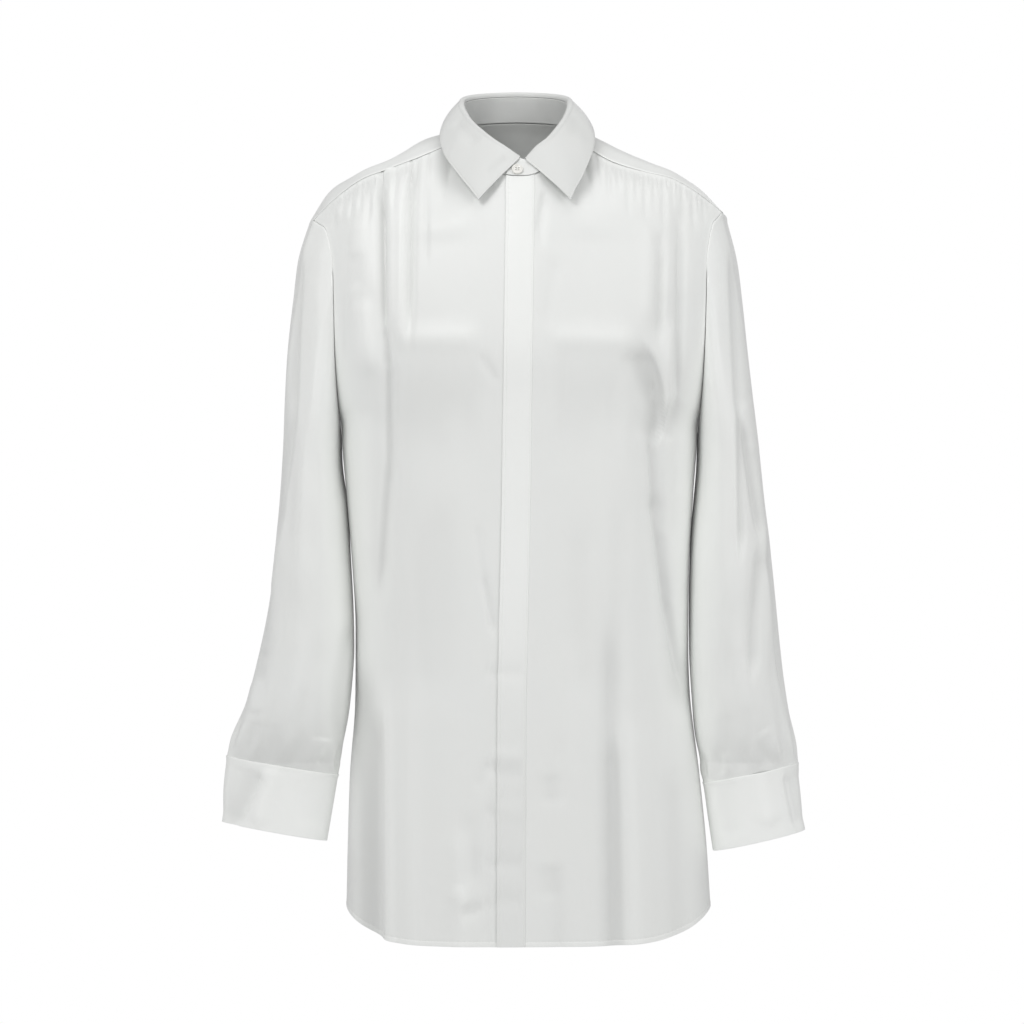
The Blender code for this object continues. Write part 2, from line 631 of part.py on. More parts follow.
def wall(sheet, material):
    """Close a sheet into a wall: its points, the same points moved inward, and the rims between them."""
    outer = np.vstack(sheet.points)
    inner = outer - sheet.thickness * np.vstack(sheet.normals)
    count = len(outer)
    closed = sheet.closed
    faces = sheet_faces(sheet.places, closed)
    sizes = [len(row) for row in sheet.points]
    starts = np.concatenate([[0], np.cumsum(sizes)])
    rims = [list(range(starts[0], starts[1])), list(range(starts[-2], starts[-1]))]
    if closed:
        rims = [rim + rim[:1] for rim in rims]
    else:
        rims += [list(starts[:-1]), [start + size - 1 for start, size in zip(starts, sizes)]]

    def build(builder):
        vertices = [builder.verts.new(point * MM) for point in np.vstack([outer, inner])]
        for a, b, c in faces:
            builder.faces.new((vertices[a], vertices[b], vertices[c]))
            builder.faces.new((vertices[count + c], vertices[count + b], vertices[count + a]))
        for rim in rims:
            for a, b in zip(rim, rim[1:]):
                builder.faces.new((vertices[a], vertices[b], vertices[count + b]))
                builder.faces.new((vertices[a], vertices[count + b], vertices[count + a]))

    return make_object(sheet.name, build, material)


class Sheet:
    """A sheet of points in rows, ready to become a wall once its rims are mitred to its neighbours'."""

    def __init__(self, name, points, places, normals, thickness, closed=0.0):
        self.name, self.points, self.places, self.thickness = name, points, places, thickness
        self.normals, self.closed = [row.copy() for row in normals], closed

    def rim(self):
        """Row and column of each rim point, in order along each side."""
        sides = [[(0, k) for k in range(len(self.points[0]))],
                 [(len(self.points) - 1, k) for k in range(len(self.points[-1]))]]
        if not self.closed:
            sides += [[(k, 0) for k in range(len(self.points))],
                      [(k, len(row) - 1) for k, row in enumerate(self.points)]]
        return sides

    def dense_rim(self):
        """Points and normals close together along the rim."""
        points, normals = [], []
        for side in self.rim():
            line = np.array([self.points[i][k] for i, k in side])
            way = np.array([self.normals[i][k] for i, k in side])
            far = lengths_along(line)
            at = np.arange(0, far[-1], 1.0)
            points.append(at_shares(line, far, at))
            normals.append(at_shares(way, far, at))
        return np.vstack(points), np.vstack(normals)


def mitre(sheets, reach=2.5, same_side=0.3):
    """Give rim points that lie at a neighbour's rim the mean of both normals, so that the gap stays even."""
    rims = {sheet.name: sheet.dense_rim() for sheet in sheets}
    for sheet in sheets:
        others = [rims[other.name] for other in sheets if other is not sheet]
        points = np.vstack([rim[0] for rim in others])
        normals = np.vstack([rim[1] for rim in others])
        for side in sheet.rim():
            for i, k in side:
                own = sheet.normals[i][k].copy()
                apart = np.linalg.norm(points - sheet.points[i][k], axis=1)
                apart[normals @ own < same_side] = np.inf
                nearest = int(np.argmin(apart))
                if apart[nearest] < reach:
                    sheet.normals[i][k] = unit(own + unit(normals[nearest]))


def take(rows, places, keep):
    """Take the part of each row whose places pass a test."""
    return [row[keep(np.asarray(place))] for row, place in zip(rows, places)]


def front_labels(fine):
    """Labels across both fronts: side, placket edges and centre, with closer columns under the yoke."""
    if fine:
        beyond = np.concatenate([np.linspace(0, 0.38, 7)[1:], np.linspace(0.38, 1, FRONT_FINE)[1:]])
    else:
        beyond = np.linspace(0, 1, FRONT_COARSE + 1)[1:]
    beyond[-1] -= SIDE_INSET / SIDE_SCALE
    out = PLACKET_HALF + SIDE_SCALE * beyond
    inner = np.array([UNDERLAP_EDGE / 2, UNDERLAP_EDGE])
    middle = np.concatenate([[-PLACKET_HALF], -inner[::-1], [0], inner, [UNDERLAP_EDGE + UNDERLAP_GAP, PLACKET_HALF]])
    return np.concatenate([-out[::-1], middle, out])


def front_sheets(panel):
    """Both fronts on one surface, and the placket made from their points and moved out."""
    seams = {-1: front_top(-1)[1], 1: front_top(1)[1]}
    seam = np.vstack([seams[-1][::-1], seams[1]])

    def relief(plain):
        return fold_relief(plain, FRONT_FOLDS) + gather_relief(plain, GATHERS_FRONT, seam)

    places, points = [], []
    for drop in FRONT_FINE_DROPS + FRONT_DROPS:
        labels = front_labels(fine=drop <= FRONT_FINE_DROPS[-1])
        places.append(labels)
        points.append(panel.points(labels, np.full(labels.shape, float(drop)), relief))
    normals = sheet_normals(points, places, 0.0, from_axis)
    parts = {
        "front_right": (lambda label: label <= UNDERLAP_EDGE, 0.0, CLOTH_WALL),
        "front_left": (lambda label: label > UNDERLAP_EDGE, 0.0, CLOTH_WALL),
        "placket": (lambda label: np.abs(label) <= PLACKET_HALF, PLACKET_WALL + SEAM_GAP, PLACKET_WALL),
    }
    sheets = []
    for name, (keep, moved, thickness) in parts.items():
        own_normals = take(normals, places, keep)
        own_points = [row + moved * way for row, way in zip(take(points, places, keep), own_normals)]
        if name == "placket":
            own_points[0] = own_points[0] + PLACKET_TOP_SHARE * (own_points[1] - own_points[0])
        sheets.append(Sheet(name, own_points, take(places, places, keep), own_normals, thickness))
    return sheets


def back_sheet(panel):
    """The back, hanging from the yoke."""
    columns = np.linspace(YOKE_CORNER, YOKE_LAST - YOKE_CORNER, 2 * SEAM_SAMPLES)
    seam = evenly(yoke_points(columns, 1.0), SEAM_SAMPLES)

    def relief(plain):
        return fold_relief(plain, BACK_FOLDS) + gather_relief(plain, GATHERS_BACK, seam)

    reach = PLACKET_HALF + SIDE_SCALE
    places, points = [], []
    for drop in BACK_FINE_DROPS + BACK_DROPS:
        count = BACK_FINE if drop <= BACK_FINE_DROPS[-1] else BACK_COARSE
        labels = np.linspace(-reach, reach, count + 1)
        places.append(labels)
        points.append(panel.points(labels, np.full(labels.shape, float(drop)), relief))
    normals = sheet_normals(points, places, 0.0, from_axis)
    return Sheet("back", points, places, normals, CLOTH_WALL)


def yoke_sheet():
    """The yoke, one piece over both shoulders and the upper back."""
    places, points = [], []
    for share in YOKE_MESH_SHARES:
        places.append(YOKE_MESH_COLUMNS)
        points.append(yoke_points(YOKE_MESH_COLUMNS, share))
    normals = sheet_normals(points, places, 0.0, lambda flat: flat * 0 + np.array([0, 0, 1.0]))
    return Sheet("yoke", points, places, normals, CLOTH_WALL)


def armhole(sign, front, back):
    """Loop round one armhole from the shoulder forward: its points and their angle places, 0 to 360."""
    first, last = (0, YOKE_CORNER) if sign < 0 else (YOKE_LAST - YOKE_CORNER, YOKE_LAST)
    columns = YOKE_MESH_COLUMNS[(YOKE_MESH_COLUMNS >= first) & (YOKE_MESH_COLUMNS <= last)]
    columns = columns if sign < 0 else columns[::-1]
    edge = yoke_points(columns, 1.0)
    ridge = int(np.argmin(np.abs(columns - (1 if sign < 0 else YOKE_LAST - 1))))
    side = sign * (PLACKET_HALF + SIDE_SCALE)
    front_drops = np.array([drop for drop in FRONT_FINE_DROPS + FRONT_DROPS if drop <= UNDERARM_DROP], float)
    back_drops = np.array([drop for drop in BACK_FINE_DROPS + BACK_DROPS if drop < UNDERARM_DROP], float)[::-1]
    forward = np.vstack([edge[:ridge + 1][::-1], front.base(side, front_drops[1:])])
    backward = np.vstack([back.base(side, back_drops[:-1]), edge[ridge:][::-1]])
    front_share = lengths_along(forward)
    back_share = lengths_along(np.vstack([forward[-1:], backward]))
    loop = np.vstack([forward, backward[:-1]])
    angles = np.concatenate([180 * front_share / front_share[-1], 180 + 180 * back_share[1:-1] / back_share[-1]])
    return loop, angles


def sleeve_section(sign, z, angle):
    """Point of the level oval at a height: outer at 0 degrees, front at 90."""
    rows = SLEEVE[sign]
    read = {name: np.interp(z, rows["z"], rows[name]) for name in ("out", "inside", "depth", "middle")}
    middle = (read["out"] + read["inside"]) / 2
    half = (read["out"] - read["inside"]) / 2
    turn = np.radians(angle)
    return np.stack([middle + half * np.cos(turn), read["middle"] - read["depth"] * np.sin(turn), z], axis=-1)


def cuff_ring(sign, share, angle, outward=0.0):
    """Point of the cuff's outer face: share 0 at its top, 1 at its bottom."""
    rows = CUFF[sign]
    read = {name: along(CUFF_SHARES, rows[name], share) for name in rows}
    turn = np.radians(angle)
    half = (read["out"] - read["inside"]) / 2
    return np.stack([
        (read["out"] + read["inside"]) / 2 + (half + sign * outward) * np.cos(turn),
        read["middle"] - (read["depth"] + outward) * np.sin(turn),
        (read["z_out"] + read["z_inside"]) / 2 + (read["z_out"] - read["z_inside"]) / 2 * np.cos(turn),
    ], axis=-1)


def sleeve_points(sign, angle, share, loop, loop_angles):
    """Sleeve surface: level ovals, eased at the top to the armhole and at the bottom to the cuff."""
    wrapped = np.vstack([loop, loop[:1]])
    places = np.append(loop_angles, 360.0)
    start = at_shares(wrapped, places, angle)
    end = cuff_ring(sign, np.zeros_like(angle), angle)
    z = start[..., 2] + (end[..., 2] - start[..., 2]) * share
    top = start - sleeve_section(sign, start[..., 2], angle)
    bottom = end - sleeve_section(sign, end[..., 2], angle)
    top_weight = (1 - ease(share / ARMHOLE_BLEND))[..., None]
    bottom_weight = (np.clip(1 - (1 - share) / CUFF_BLEND, 0, 1) ** CUFF_BLEND_POWER)[..., None]
    return sleeve_section(sign, z, angle) + top * top_weight + bottom * bottom_weight


def sleeve_relief(sign, angle, share):
    """Long folds by angle and share, and even gathers where the sleeve goes into the cuff."""
    total = np.zeros(angle.shape)
    for angle0, share0, angle1, share1, width, depth in zip(*SLEEVE_FOLDS.values()):
        t = (share - share0) / (share1 - share0)
        line = angle0 + (angle1 - angle0) * np.clip(t, 0, 1)
        fade = ease(t / SLEEVE_FOLD_FADE) * ease((1 - t) / SLEEVE_FOLD_FADE)
        total += depth * fade * np.exp(-(((angle - line) / width) ** 2))
    gather = ease((share - CUFF_GATHER_START) / CUFF_GATHER_IN) * ease((1.0 - share) / CUFF_GATHER_OUT)
    return total + gather * CUFF_GATHER_DEPTH * np.cos(np.radians(CUFF_GATHERS * angle + CUFF_GATHER_SHIFT * sign))


def sleeve_sheet(sign, name, front, back):
    """One sleeve, from the armhole's own points to the top of its cuff."""
    loop, loop_angles = armhole(sign, front, back)
    places, points = [loop_angles], []
    just_below = sleeve_points(sign, loop_angles, np.full(loop_angles.shape, 0.01), loop, loop_angles)
    away = unit(unit(just_below - loop) + np.array([sign, 0, 0]))
    points.append(loop + ARMHOLE_GAP * away)
    for share in SLEEVE_SHARES + SLEEVE_FINE_SHARES + (1.0,):
        count = SLEEVE_COARSE if share in SLEEVE_SHARES else SLEEVE_FINE
        angles = np.linspace(0, 360, count, endpoint=False)
        shares = np.full(count, share)
        row = sleeve_points(sign, angles, shares, loop, loop_angles)
        middle = np.array([row[:, 0].mean(), row[:, 1].mean(), 0])
        out = unit((row - middle) * np.array([1, 1, 0]))
        row = row + out * sleeve_relief(sign, angles, shares)[:, None]
        if share == 1.0:
            row[:, 2] += SEAM_GAP + 0.1
        places.append(angles)
        points.append(row)
    centre = np.mean(np.vstack(points), axis=0)
    normals = sheet_normals(points, places, 360.0, lambda flat: (flat - centre) * np.array([1, 1, 0]))
    return Sheet(name, points, places, normals, CLOTH_WALL, closed=360.0)


def cuff_step(turns):
    """How far the cuff moves out before its end laps over the other."""
    return (CUFF_WALL + SEAM_GAP) * ease((turns - 2 * math.pi + CUFF_STEP_START) / CUFF_STEP_RUN)


def cuff_sheet(sign, name):
    """A wide cuff whose one end laps outside the other."""
    turns = np.linspace(0, 2 * math.pi + CUFF_LAP, CUFF_COLUMNS)
    step_out = cuff_step(turns)
    angles = np.degrees(CUFF_LAP_START + turns)
    places, points = [], []
    for share in np.linspace(0, 1, CUFF_ROWS):
        places.append(turns)
        points.append(cuff_ring(sign, np.full(turns.shape, share), angles, step_out))
    centre = np.mean(np.vstack(points), axis=0)
    normals = sheet_normals(points, places, 0.0, lambda flat: (flat - centre) * np.array([1, 1, 0]))
    return Sheet(name, points, places, normals, CUFF_WALL)


def collar_lines():
    """Fold line and outer edge of the leaf, from the left front end round the back to the right front end."""
    left, right = COLLAR[-1], COLLAR[1]
    lines = []
    for x, y, z in (("fold_x", "fold_y", "fold_z"), ("edge_x", "edge_y", "edge_z")):
        lines.append(np.vstack([points_of(left, x, y, z), points_of(right, x, y, z)[-2::-1]]))
    return lines


def loop_outward(points):
    """Level direction away from the neck, square to a line of points round it."""
    way = np.gradient(points, axis=0)
    side = unit(np.stack([way[:, 1], -way[:, 0], 0 * way[:, 0]], axis=-1))
    return side * np.where(np.sum(side * (points - np.array(NECK_CENTRE)), axis=1, keepdims=True) < 0, -1, 1)


def leaf_sheet():
    """The pointed leaf: up from the stand, over in a half round, and down to its outer edge."""
    fold, edge = collar_lines()
    stations = np.arange(len(fold))
    at = np.concatenate([np.linspace(0, 5, 10), np.linspace(5, 13, 13)[1:-1], np.linspace(13, 18, 10)])
    fold_line = along(stations, fold, at)
    edge_line = along(stations, edge, at)
    out = loop_outward(fold_line)
    up = np.array([0, 0, 1.0])
    centre = fold_line - COLLAR_ROLL * up
    rows = [centre - COLLAR_ROLL * out - LEAF_FOOT * up]
    for degrees in (180, 135, 90, 45, 10):
        turn = math.radians(degrees)
        rows.append(centre + COLLAR_ROLL * (math.cos(turn) * out + math.sin(turn) * up))
    start = rows[-1]
    for share in (0.3, 0.65, 1.0):
        bulge = LEAF_BULGE * 4 * share * (1 - share)
        rows.append(start + (edge_line - start) * share + out * bulge)
    places = [at] * len(rows)
    normals = sheet_normals(rows, places, 0.0, lambda flat: flat * 0 + up)
    return Sheet("collar_leaf", rows, places, normals, LEAF_WALL)


def neck_loop(sign):
    """Half of the neck seam, from the centre front to the centre back."""
    neck, _ = front_top(sign)
    first, last = (0, YOKE_CENTRE) if sign < 0 else (YOKE_LAST, YOKE_CENTRE)
    back = yoke_points(np.linspace(first, last, SEAM_SAMPLES), 0.0)
    return evenly(np.vstack([neck, back[1:]]), RING_SAMPLES)


def stand_top(sign):
    """Half of the stand's top edge, beneath the leaf's roll."""
    rows = COLLAR[sign]
    points = points_of(rows, "fold_x", "fold_y", "fold_z")
    fold = along(np.arange(len(points)), points, np.linspace(0, len(points) - 1, SEAM_SAMPLES))
    below = np.array([0, 0, COLLAR_ROLL + STAND_BELOW_ROLL])
    top = fold - loop_outward(fold) * (COLLAR_ROLL - STAND_WALL) - below
    return evenly(np.vstack([STAND_TOP_FRONT, top]), RING_SAMPLES)


def stand_points(turn, height, outward):
    """Stand surface: turn 0 at the centre front, 1 at the centre back, 2 at the centre front again."""
    wrapped = np.mod(turn, 2.0)
    shares = np.linspace(0, 1, RING_SAMPLES)
    result = np.zeros(turn.shape + (3,))
    for sign in (-1, 1):
        chosen = (wrapped <= 1) if sign < 0 else (wrapped > 1)
        at = wrapped if sign < 0 else 2 - wrapped
        bottom = at_shares(neck_loop(sign), shares, at)
        top = at_shares(stand_top(sign), shares, at)
        point = bottom + np.array([0, 0, STAND_LIFT]) * (1 - height[..., None]) + (top - bottom) * height[..., None]
        result[chosen] = point[chosen]
    radial = unit((result - np.array(NECK_CENTRE)) * np.array([1, 1, 0]))
    return result + radial * outward[..., None]


def stand_step(turns):
    """How far the stand moves out before its end laps over the other."""
    return (STAND_WALL + LAP_GAP) * ease((turns - STAND_STEP_TURN) / STAND_STEP_RUN)


def stand_sheet():
    """The band round the neck. Its end at the viewer's right laps over the other at the centre front."""
    half = lengths_along(neck_loop(-1))[-1]
    lap = STAND_OVERLAP / half
    turns = np.concatenate([np.linspace(-lap, lap, 7), np.linspace(lap, 2 - lap, 35)[1:-1],
                            np.linspace(2 - lap, 2 + lap, 7)])
    step_out = stand_step(turns)
    end = np.minimum(turns + lap, 2 + lap - turns) * half
    rounded = 1 - 0.45 * (1 - np.clip(end / STAND_END_ROUND, 0, 1)) ** 2.2
    places, points = [], []
    for height in np.linspace(0, 1, 4):
        places.append(turns)
        points.append(stand_points(turns, height * rounded, step_out))
    normals = sheet_normals(points, places, 0.0, from_axis)
    return Sheet("collar_stand", points, places, normals, STAND_WALL)


def on_surface(surface, across, along_way, away_from):
    """Place and outward direction on a surface of two parameters, and its direction of growing height."""
    step = 0.01
    place = surface(across, along_way)
    side = surface(across + step, along_way) - place
    up = surface(across, along_way + step) - place
    way = unit(np.cross(side, up))
    if np.dot(way, (place - away_from) * np.array([1, 1, 0])) < 0:
        way = -way
    return place, way, up


def collar_button_seat():
    """Where the collar button lies on the lapped end of the stand."""
    half = lengths_along(neck_loop(-1))[-1]

    def surface(turn, height):
        turn = np.array([turn])
        return stand_points(turn, np.array([height]), stand_step(turn))[0]

    return on_surface(surface, 2 + BUTTON_FROM_CENTRE / half, BUTTON_STAND_SHARE, np.array(NECK_CENTRE))


def cuff_button_seat(sign):
    """Where a cuff's button lies, near the edge of its lapped end and half way down."""
    turn_at_edge = 2 * math.pi + CUFF_LAP

    def surface(turn, share):
        turn = np.array([turn])
        return cuff_ring(sign, np.array([share]), np.degrees(CUFF_LAP_START + turn), cuff_step(turn))[0]

    middle = np.mean([surface(turn, 0.5) for turn in np.linspace(0, 2 * math.pi, 13)[:-1]], axis=0)
    return on_surface(surface, turn_at_edge - CUFF_BUTTON_TURN, 0.5, middle)


def make_button(name, seat, materials):
    """A round button with four holes, its back just clear of its seat and its face turned outward."""
    place, way, up = seat
    turns = [2 * math.pi * k / BUTTON_SEGMENTS for k in range(BUTTON_SEGMENTS)]

    def build(builder):
        rings = []
        for radius, height in zip(BUTTON_PROFILE["radius"] * BUTTON_RADIUS, BUTTON_PROFILE["height"] * BUTTON_HEIGHT):
            points = [Vector((radius * math.cos(turn), radius * math.sin(turn), height)) for turn in turns]
            rings.append([builder.verts.new(point * MM) for point in points])
        for low, high in zip(rings, rings[1:]):
            for k in range(BUTTON_SEGMENTS):
                after = (k + 1) % BUTTON_SEGMENTS
                builder.faces.new((low[k], low[after], high[after], high[k]))
        builder.faces.new(rings[0][::-1])
        builder.faces.new(rings[-1])

    button = make_object(name, build, materials["button"])
    for k in range(4):
        angle = math.pi / 4 + k * math.pi / 2
        cutter_mesh = bpy.data.meshes.new(f"{name}_hole_{k}")
        builder = bmesh.new()
        bmesh.ops.create_cone(builder, cap_ends=True, segments=HOLE_SEGMENTS, radius1=BUTTON_HOLE * MM,
                              radius2=BUTTON_HOLE * MM, depth=4 * BUTTON_HEIGHT * MM)
        builder.to_mesh(cutter_mesh)
        builder.free()
        cutter = bpy.data.objects.new(cutter_mesh.name, cutter_mesh)
        cutter.hide_render = True
        cutter.display_type = "WIRE"
        bpy.context.scene.collection.objects.link(cutter)
        cutter.parent = button
        cutter.location = Vector((math.cos(angle), math.sin(angle), 0)) * BUTTON_HOLE_CENTRE * MM
        cut = button.modifiers.new(f"hole_{k}", "BOOLEAN")
        cut.operation = "DIFFERENCE"
        cut.solver = "EXACT"
        cut.object = cutter
    z_axis = Vector(way).normalized()
    x_axis = Vector(up).cross(z_axis).normalized()
    turned = Matrix((x_axis, z_axis.cross(x_axis), z_axis)).transposed().to_4x4()
    button.matrix_world = Matrix.Translation(Vector(place + way * SEAM_GAP) * MM) @ turned


def main():
    """Clear the scene and make every piece."""
    for old in list(bpy.data.objects):
        bpy.data.objects.remove(old, do_unlink=True)
    materials = {}
    for name, (colour, roughness) in MATERIALS.items():
        material = bpy.data.materials.new(name)
        material.use_nodes = True
        shader = material.node_tree.nodes["Principled BSDF"]
        shader.inputs["Base Color"].default_value = (*colour, 1.0)
        shader.inputs["Roughness"].default_value = roughness
        materials[name] = material
    front = Panel(front_guides(-1), front_guides(1), FRONT["drop"])
    back = Panel(back_guides(-1), back_guides(1), BACK["drop"])
    body = [yoke_sheet(), back_sheet(back)] + front_sheets(front)
    sleeves = [sleeve_sheet(sign, name, front, back) for sign, name in ((-1, "sleeve_right"), (1, "sleeve_left"))]
    mitre([sheet for sheet in body + sleeves if sheet.name != "placket"])
    cuffs = [cuff_sheet(sign, name) for sign, name in ((-1, "cuff_right"), (1, "cuff_left"))]
    for sheet in body + sleeves + cuffs + [stand_sheet(), leaf_sheet()]:
        wall(sheet, materials["silk"])
    make_button("button_collar", collar_button_seat(), materials)
    make_button("button_cuff_right", cuff_button_seat(-1), materials)
    make_button("button_cuff_left", cuff_button_seat(1), materials)


main()
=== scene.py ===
"""A silk shirt in its hollow worn form: gathered yoke, concealed placket, pointed collar and barrel cuffs.

Each panel is a smooth surface through named sections, moved in and out along its normal by tables of folds,
and closed into a thin shell with rolled seams. The tables and shape functions are in millimetres: x to the
viewer's right, y to the back, z up, with the origin between the shoulders. Side -1 is the side at minus x and
side 1 the one at plus x, and pieces are named for the wearer's right and left. The meshes are in metres.
"""
import json
import math
from functools import cache, partial

import bmesh
import bpy
import numpy as np
from bpy.props import FloatProperty, FloatVectorProperty, PointerProperty
from mathutils import Matrix, Vector

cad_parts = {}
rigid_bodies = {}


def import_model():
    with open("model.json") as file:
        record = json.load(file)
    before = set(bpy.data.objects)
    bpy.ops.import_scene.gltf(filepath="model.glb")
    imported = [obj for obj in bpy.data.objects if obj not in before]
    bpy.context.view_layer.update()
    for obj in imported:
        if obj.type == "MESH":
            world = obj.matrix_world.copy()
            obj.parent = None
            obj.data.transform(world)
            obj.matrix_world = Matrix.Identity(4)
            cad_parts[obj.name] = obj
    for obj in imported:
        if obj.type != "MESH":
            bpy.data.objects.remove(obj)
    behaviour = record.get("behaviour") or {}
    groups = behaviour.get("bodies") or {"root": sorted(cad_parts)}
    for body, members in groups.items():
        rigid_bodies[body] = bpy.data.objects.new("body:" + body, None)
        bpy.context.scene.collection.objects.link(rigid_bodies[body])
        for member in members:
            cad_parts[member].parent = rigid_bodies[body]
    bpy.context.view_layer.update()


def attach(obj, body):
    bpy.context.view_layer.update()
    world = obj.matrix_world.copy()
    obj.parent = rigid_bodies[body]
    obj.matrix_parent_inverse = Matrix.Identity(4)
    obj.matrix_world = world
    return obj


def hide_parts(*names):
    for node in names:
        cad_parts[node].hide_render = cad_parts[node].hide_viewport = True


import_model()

bl_info = {
    "name": "Silk Shirt",
    "version": (1, 0, 0),
    "blender": (4, 5, 0),
    "location": "3D View > Sidebar > Shirt",
    "description": "Makes a worn silk shirt panel by panel around its packed solids",
    "category": "Object",
}

MM = 0.001
TINY = 1e-9
UP = np.array([0.0, 0.0, 1.0])
LEVEL = np.array([1.0, 1.0, 0.0])

# Driving dimensions, in millimetres
SEAM_GAP = 0.3
ARMHOLE_GAP = 0.5
PLACKET_HALF = 14.1
PLACKET_RISE = 1.25
PLACKET_PLY = 0.9
UNDERLAP_EDGE = 9.2
UNDERLAP_GAP = 0.6
COLLAR_ROLL = 3.0
LEAF_PLY = 1.1
LEAF_FOOT = 2.0
LEAF_BULGE = 3.2
STAND_PLY = 1.0
STAND_OVERLAP = 14.0
STAND_LIFT = 0.8
STAND_BELOW_ROLL = 2.9
STAND_WALL = 1.3
STAND_TOP_FRONT = (4.0, -85.2, -6.4)
LEAF_FRONT_ENDS = ((3.0, -86.3, -3.6), (7.8, -86.2, -5.4))
STAND_END_ROUND, STAND_END_FALL, STAND_END_POWER = 9.0, 0.45, 2.2
LAP_GAP = 0.6
CUFF_PLY = 1.2
CUFF_WALL = 1.5
SHOULDER_ROUND, SHOULDER_POWER = 5.0, 0.7
NECK_CENTRE = np.array([0, -12, 0])
BUTTON_RADIUS = 5.6
BUTTON_HEIGHT = 2.2
BUTTON_HOLE = 0.75
BUTTON_HOLE_CENTRE = 1.7
BUTTON_FROM_CENTRE = 3.5
UNDERARM_DROP = 285
HEM_DROP = 774
SIDE_INSET = 0.4
FIRST_DROP = 0.4
PLACKET_FIRST_DROP = 0.6
SLEEVE_END_LIFT = 0.1

# Labels across a body panel: a distance from the centre line up to PLACKET_HALF, and beyond it a share of
# the way to the side, times SIDE_SCALE. The folds calm down over the last SEAM_CALM of it
SIDE_SCALE = 200.0
SIDE_LABEL = PLACKET_HALF + SIDE_SCALE
SEAM_CALM = 22.0

# Finishing of the edges, in millimetres
SEAM_ROLL = 0.6
TUCK_ROLL, TUCK_LENGTH, TUCK_DROP = 1.4, 1.4, 0.25
LAP_LENGTH, LAP_DROP, LAP_DROP_REACH = 0.9, 0.35, 1.5
EDGE_STITCH = 2.0
PLACKET_STITCH = 3.0
HEM_STITCH = 5.0
HEM_PLY = 0.5
PUCKER = 0.16
PUCKER_SWELLS, PUCKER_MEAN, PUCKER_SWING = (21.0, 8.3), 0.55, 0.45
PUCKER_RIPPLE, PUCKER_DRIFT, PUCKER_BEND = 1.05, 6.7, 1.4
SEAM_PUCKER = 0.1
PUCKER_REACH = 4.0
SEAM_VALLEY, SEAM_VALLEY_REACH = 0.25, 2.5
FOLD_ROUND = 0.45
STITCH_GROOVE, STITCH_GROOVE_REACH = 0.22, 0.42
HEM_BAND_BEYOND = 0.4
THINNEST = 0.1
MITRE_REACH, MITRE_FADE, MITRE_SAME_SIDE = 2.5, 2.0, 0.3

# Shares and turns
BUTTON_STAND_SHARE = 0.3
STAND_STEP_TURN, STAND_STEP_RUN = 1.72, 0.2
CUFF_SHARES = (0.0, 0.5, 1.0)
CUFF_LAP_START = math.radians(285)
CUFF_LAP = math.radians(22)
CUFF_STEP_START, CUFF_STEP_RUN = 0.7, 0.55
CUFF_BUTTON_TURN = math.radians(12)
CUFF_BUTTON_SEAT = 2 * math.pi + CUFF_LAP - CUFF_BUTTON_TURN
CUFF_BUTTON_SHARE = 0.5
ARMHOLE_BLEND, CUFF_BLEND, CUFF_BLEND_POWER = 0.42, 0.16, 2.5

# Slow waves in the cloth: how far they move it, how long they are, over which shares of a piece they fade in
# from its edges, how many are summed, how steep they are along x, y and z, and what the sum is divided by
DRAPE_WAVE, DRAPE_SIZE = 0.55, 21.0
YOKE_WAVE, YOKE_SIZE = 0.35, 16.0
SLEEVE_WAVE, SLEEVE_SIZE = 0.8, 22.0
YOKE_CALM, SLEEVE_CALM = (0.25, 0.8), (0.12, 0.05)
WAVE_COUNT, WAVE_STRETCH, WAVE_DIVISOR = 7, np.array([1.0, 0.8, 0.45]), 3

# The band along each front seam of the yoke, where the seam allowances lie beneath it; how far the placket's
# free edge stands off and its sewn edge lies down; and how far a cuff's top edge stands out
YOKE_BAND, YOKE_BAND_NARROWS, BAND_RISE, BAND_EDGE, BAND_WHITER = 7.5, 3.5, 0.2, 0.8, 0.05
PLACKET_LIFT, PLACKET_LIFT_REACH, PLACKET_LIFT_TOP, PLACKET_SINK = 0.8, 7.0, 240, 0.75
CUFF_LIP, CUFF_LIP_REACH = 0.8, 2.0
# Painted shade in a trough: how much greyer it looks and at what depth; and painted highlight on a ridge: how
# much whiter it looks and at what height
HOLLOW_PAINTED_SHADE, HOLLOW_DEPTH, RIDGE_PAINTED_HIGHLIGHT, RIDGE_HEIGHT = 0.17, 6.5, 0.05, 5.0
# How much whiter the cloth is near a seam, partly for its seam allowances and partly as painted light that
# lifts the shade in the seam's crevice; how far from the seam; and the whitest it gets
SEAM_ALLOWANCE_AND_PAINTED_LIGHT, SEAM_WHITER_REACH, WHITEST = 0.14, 2.6, 1.12
# Painted light on cloth that faces to the side: how much whiter it looks, from what share of its normal, and
# over how much
SIDEWAYS_PAINTED_LIGHT, SIDEWAYS_FROM, SIDEWAYS_RUN = 0.1, 0.4, 0.45

# Grid densities, and how far apart the points are that give a normal
GUIDE_SAMPLES = 321
NECK_SAMPLES = 160
SEAM_SAMPLES = 240
RING_SAMPLES = 400
ARMHOLE_SAMPLES = 60
NORMAL_STEP, SURFACE_STEP = 1.5, 0.01
TOP_DROP, TOP_ROWS = 70, 40
FRONT_ROWS, FRONT_COLUMNS, PLACKET_COLUMNS = 165, 145, 24
UNDERLAP_COLUMNS, OVERLAP_COLUMNS = 12, 4
BACK_ROWS, BACK_COLUMNS = 130, 211
YOKE_ROWS, YOKE_MESH_COLUMNS = 56, 190
SLEEVE_ROWS, SLEEVE_FINE_ROWS, SLEEVE_FINE_FROM, SLEEVE_COLUMNS = 105, 36, 0.88, 160
SLEEVE_FRONT_DENSER = 0.42
CUFF_ROWS, CUFF_MESH_COLUMNS = 34, 150
STAND_ROWS, STAND_COLUMNS = 22, 200
LEAF_ROWS, LEAF_ROLL_ROWS, LEAF_FRONT_COLUMNS, LEAF_BACK_COLUMNS = 36, 14, 80, 66
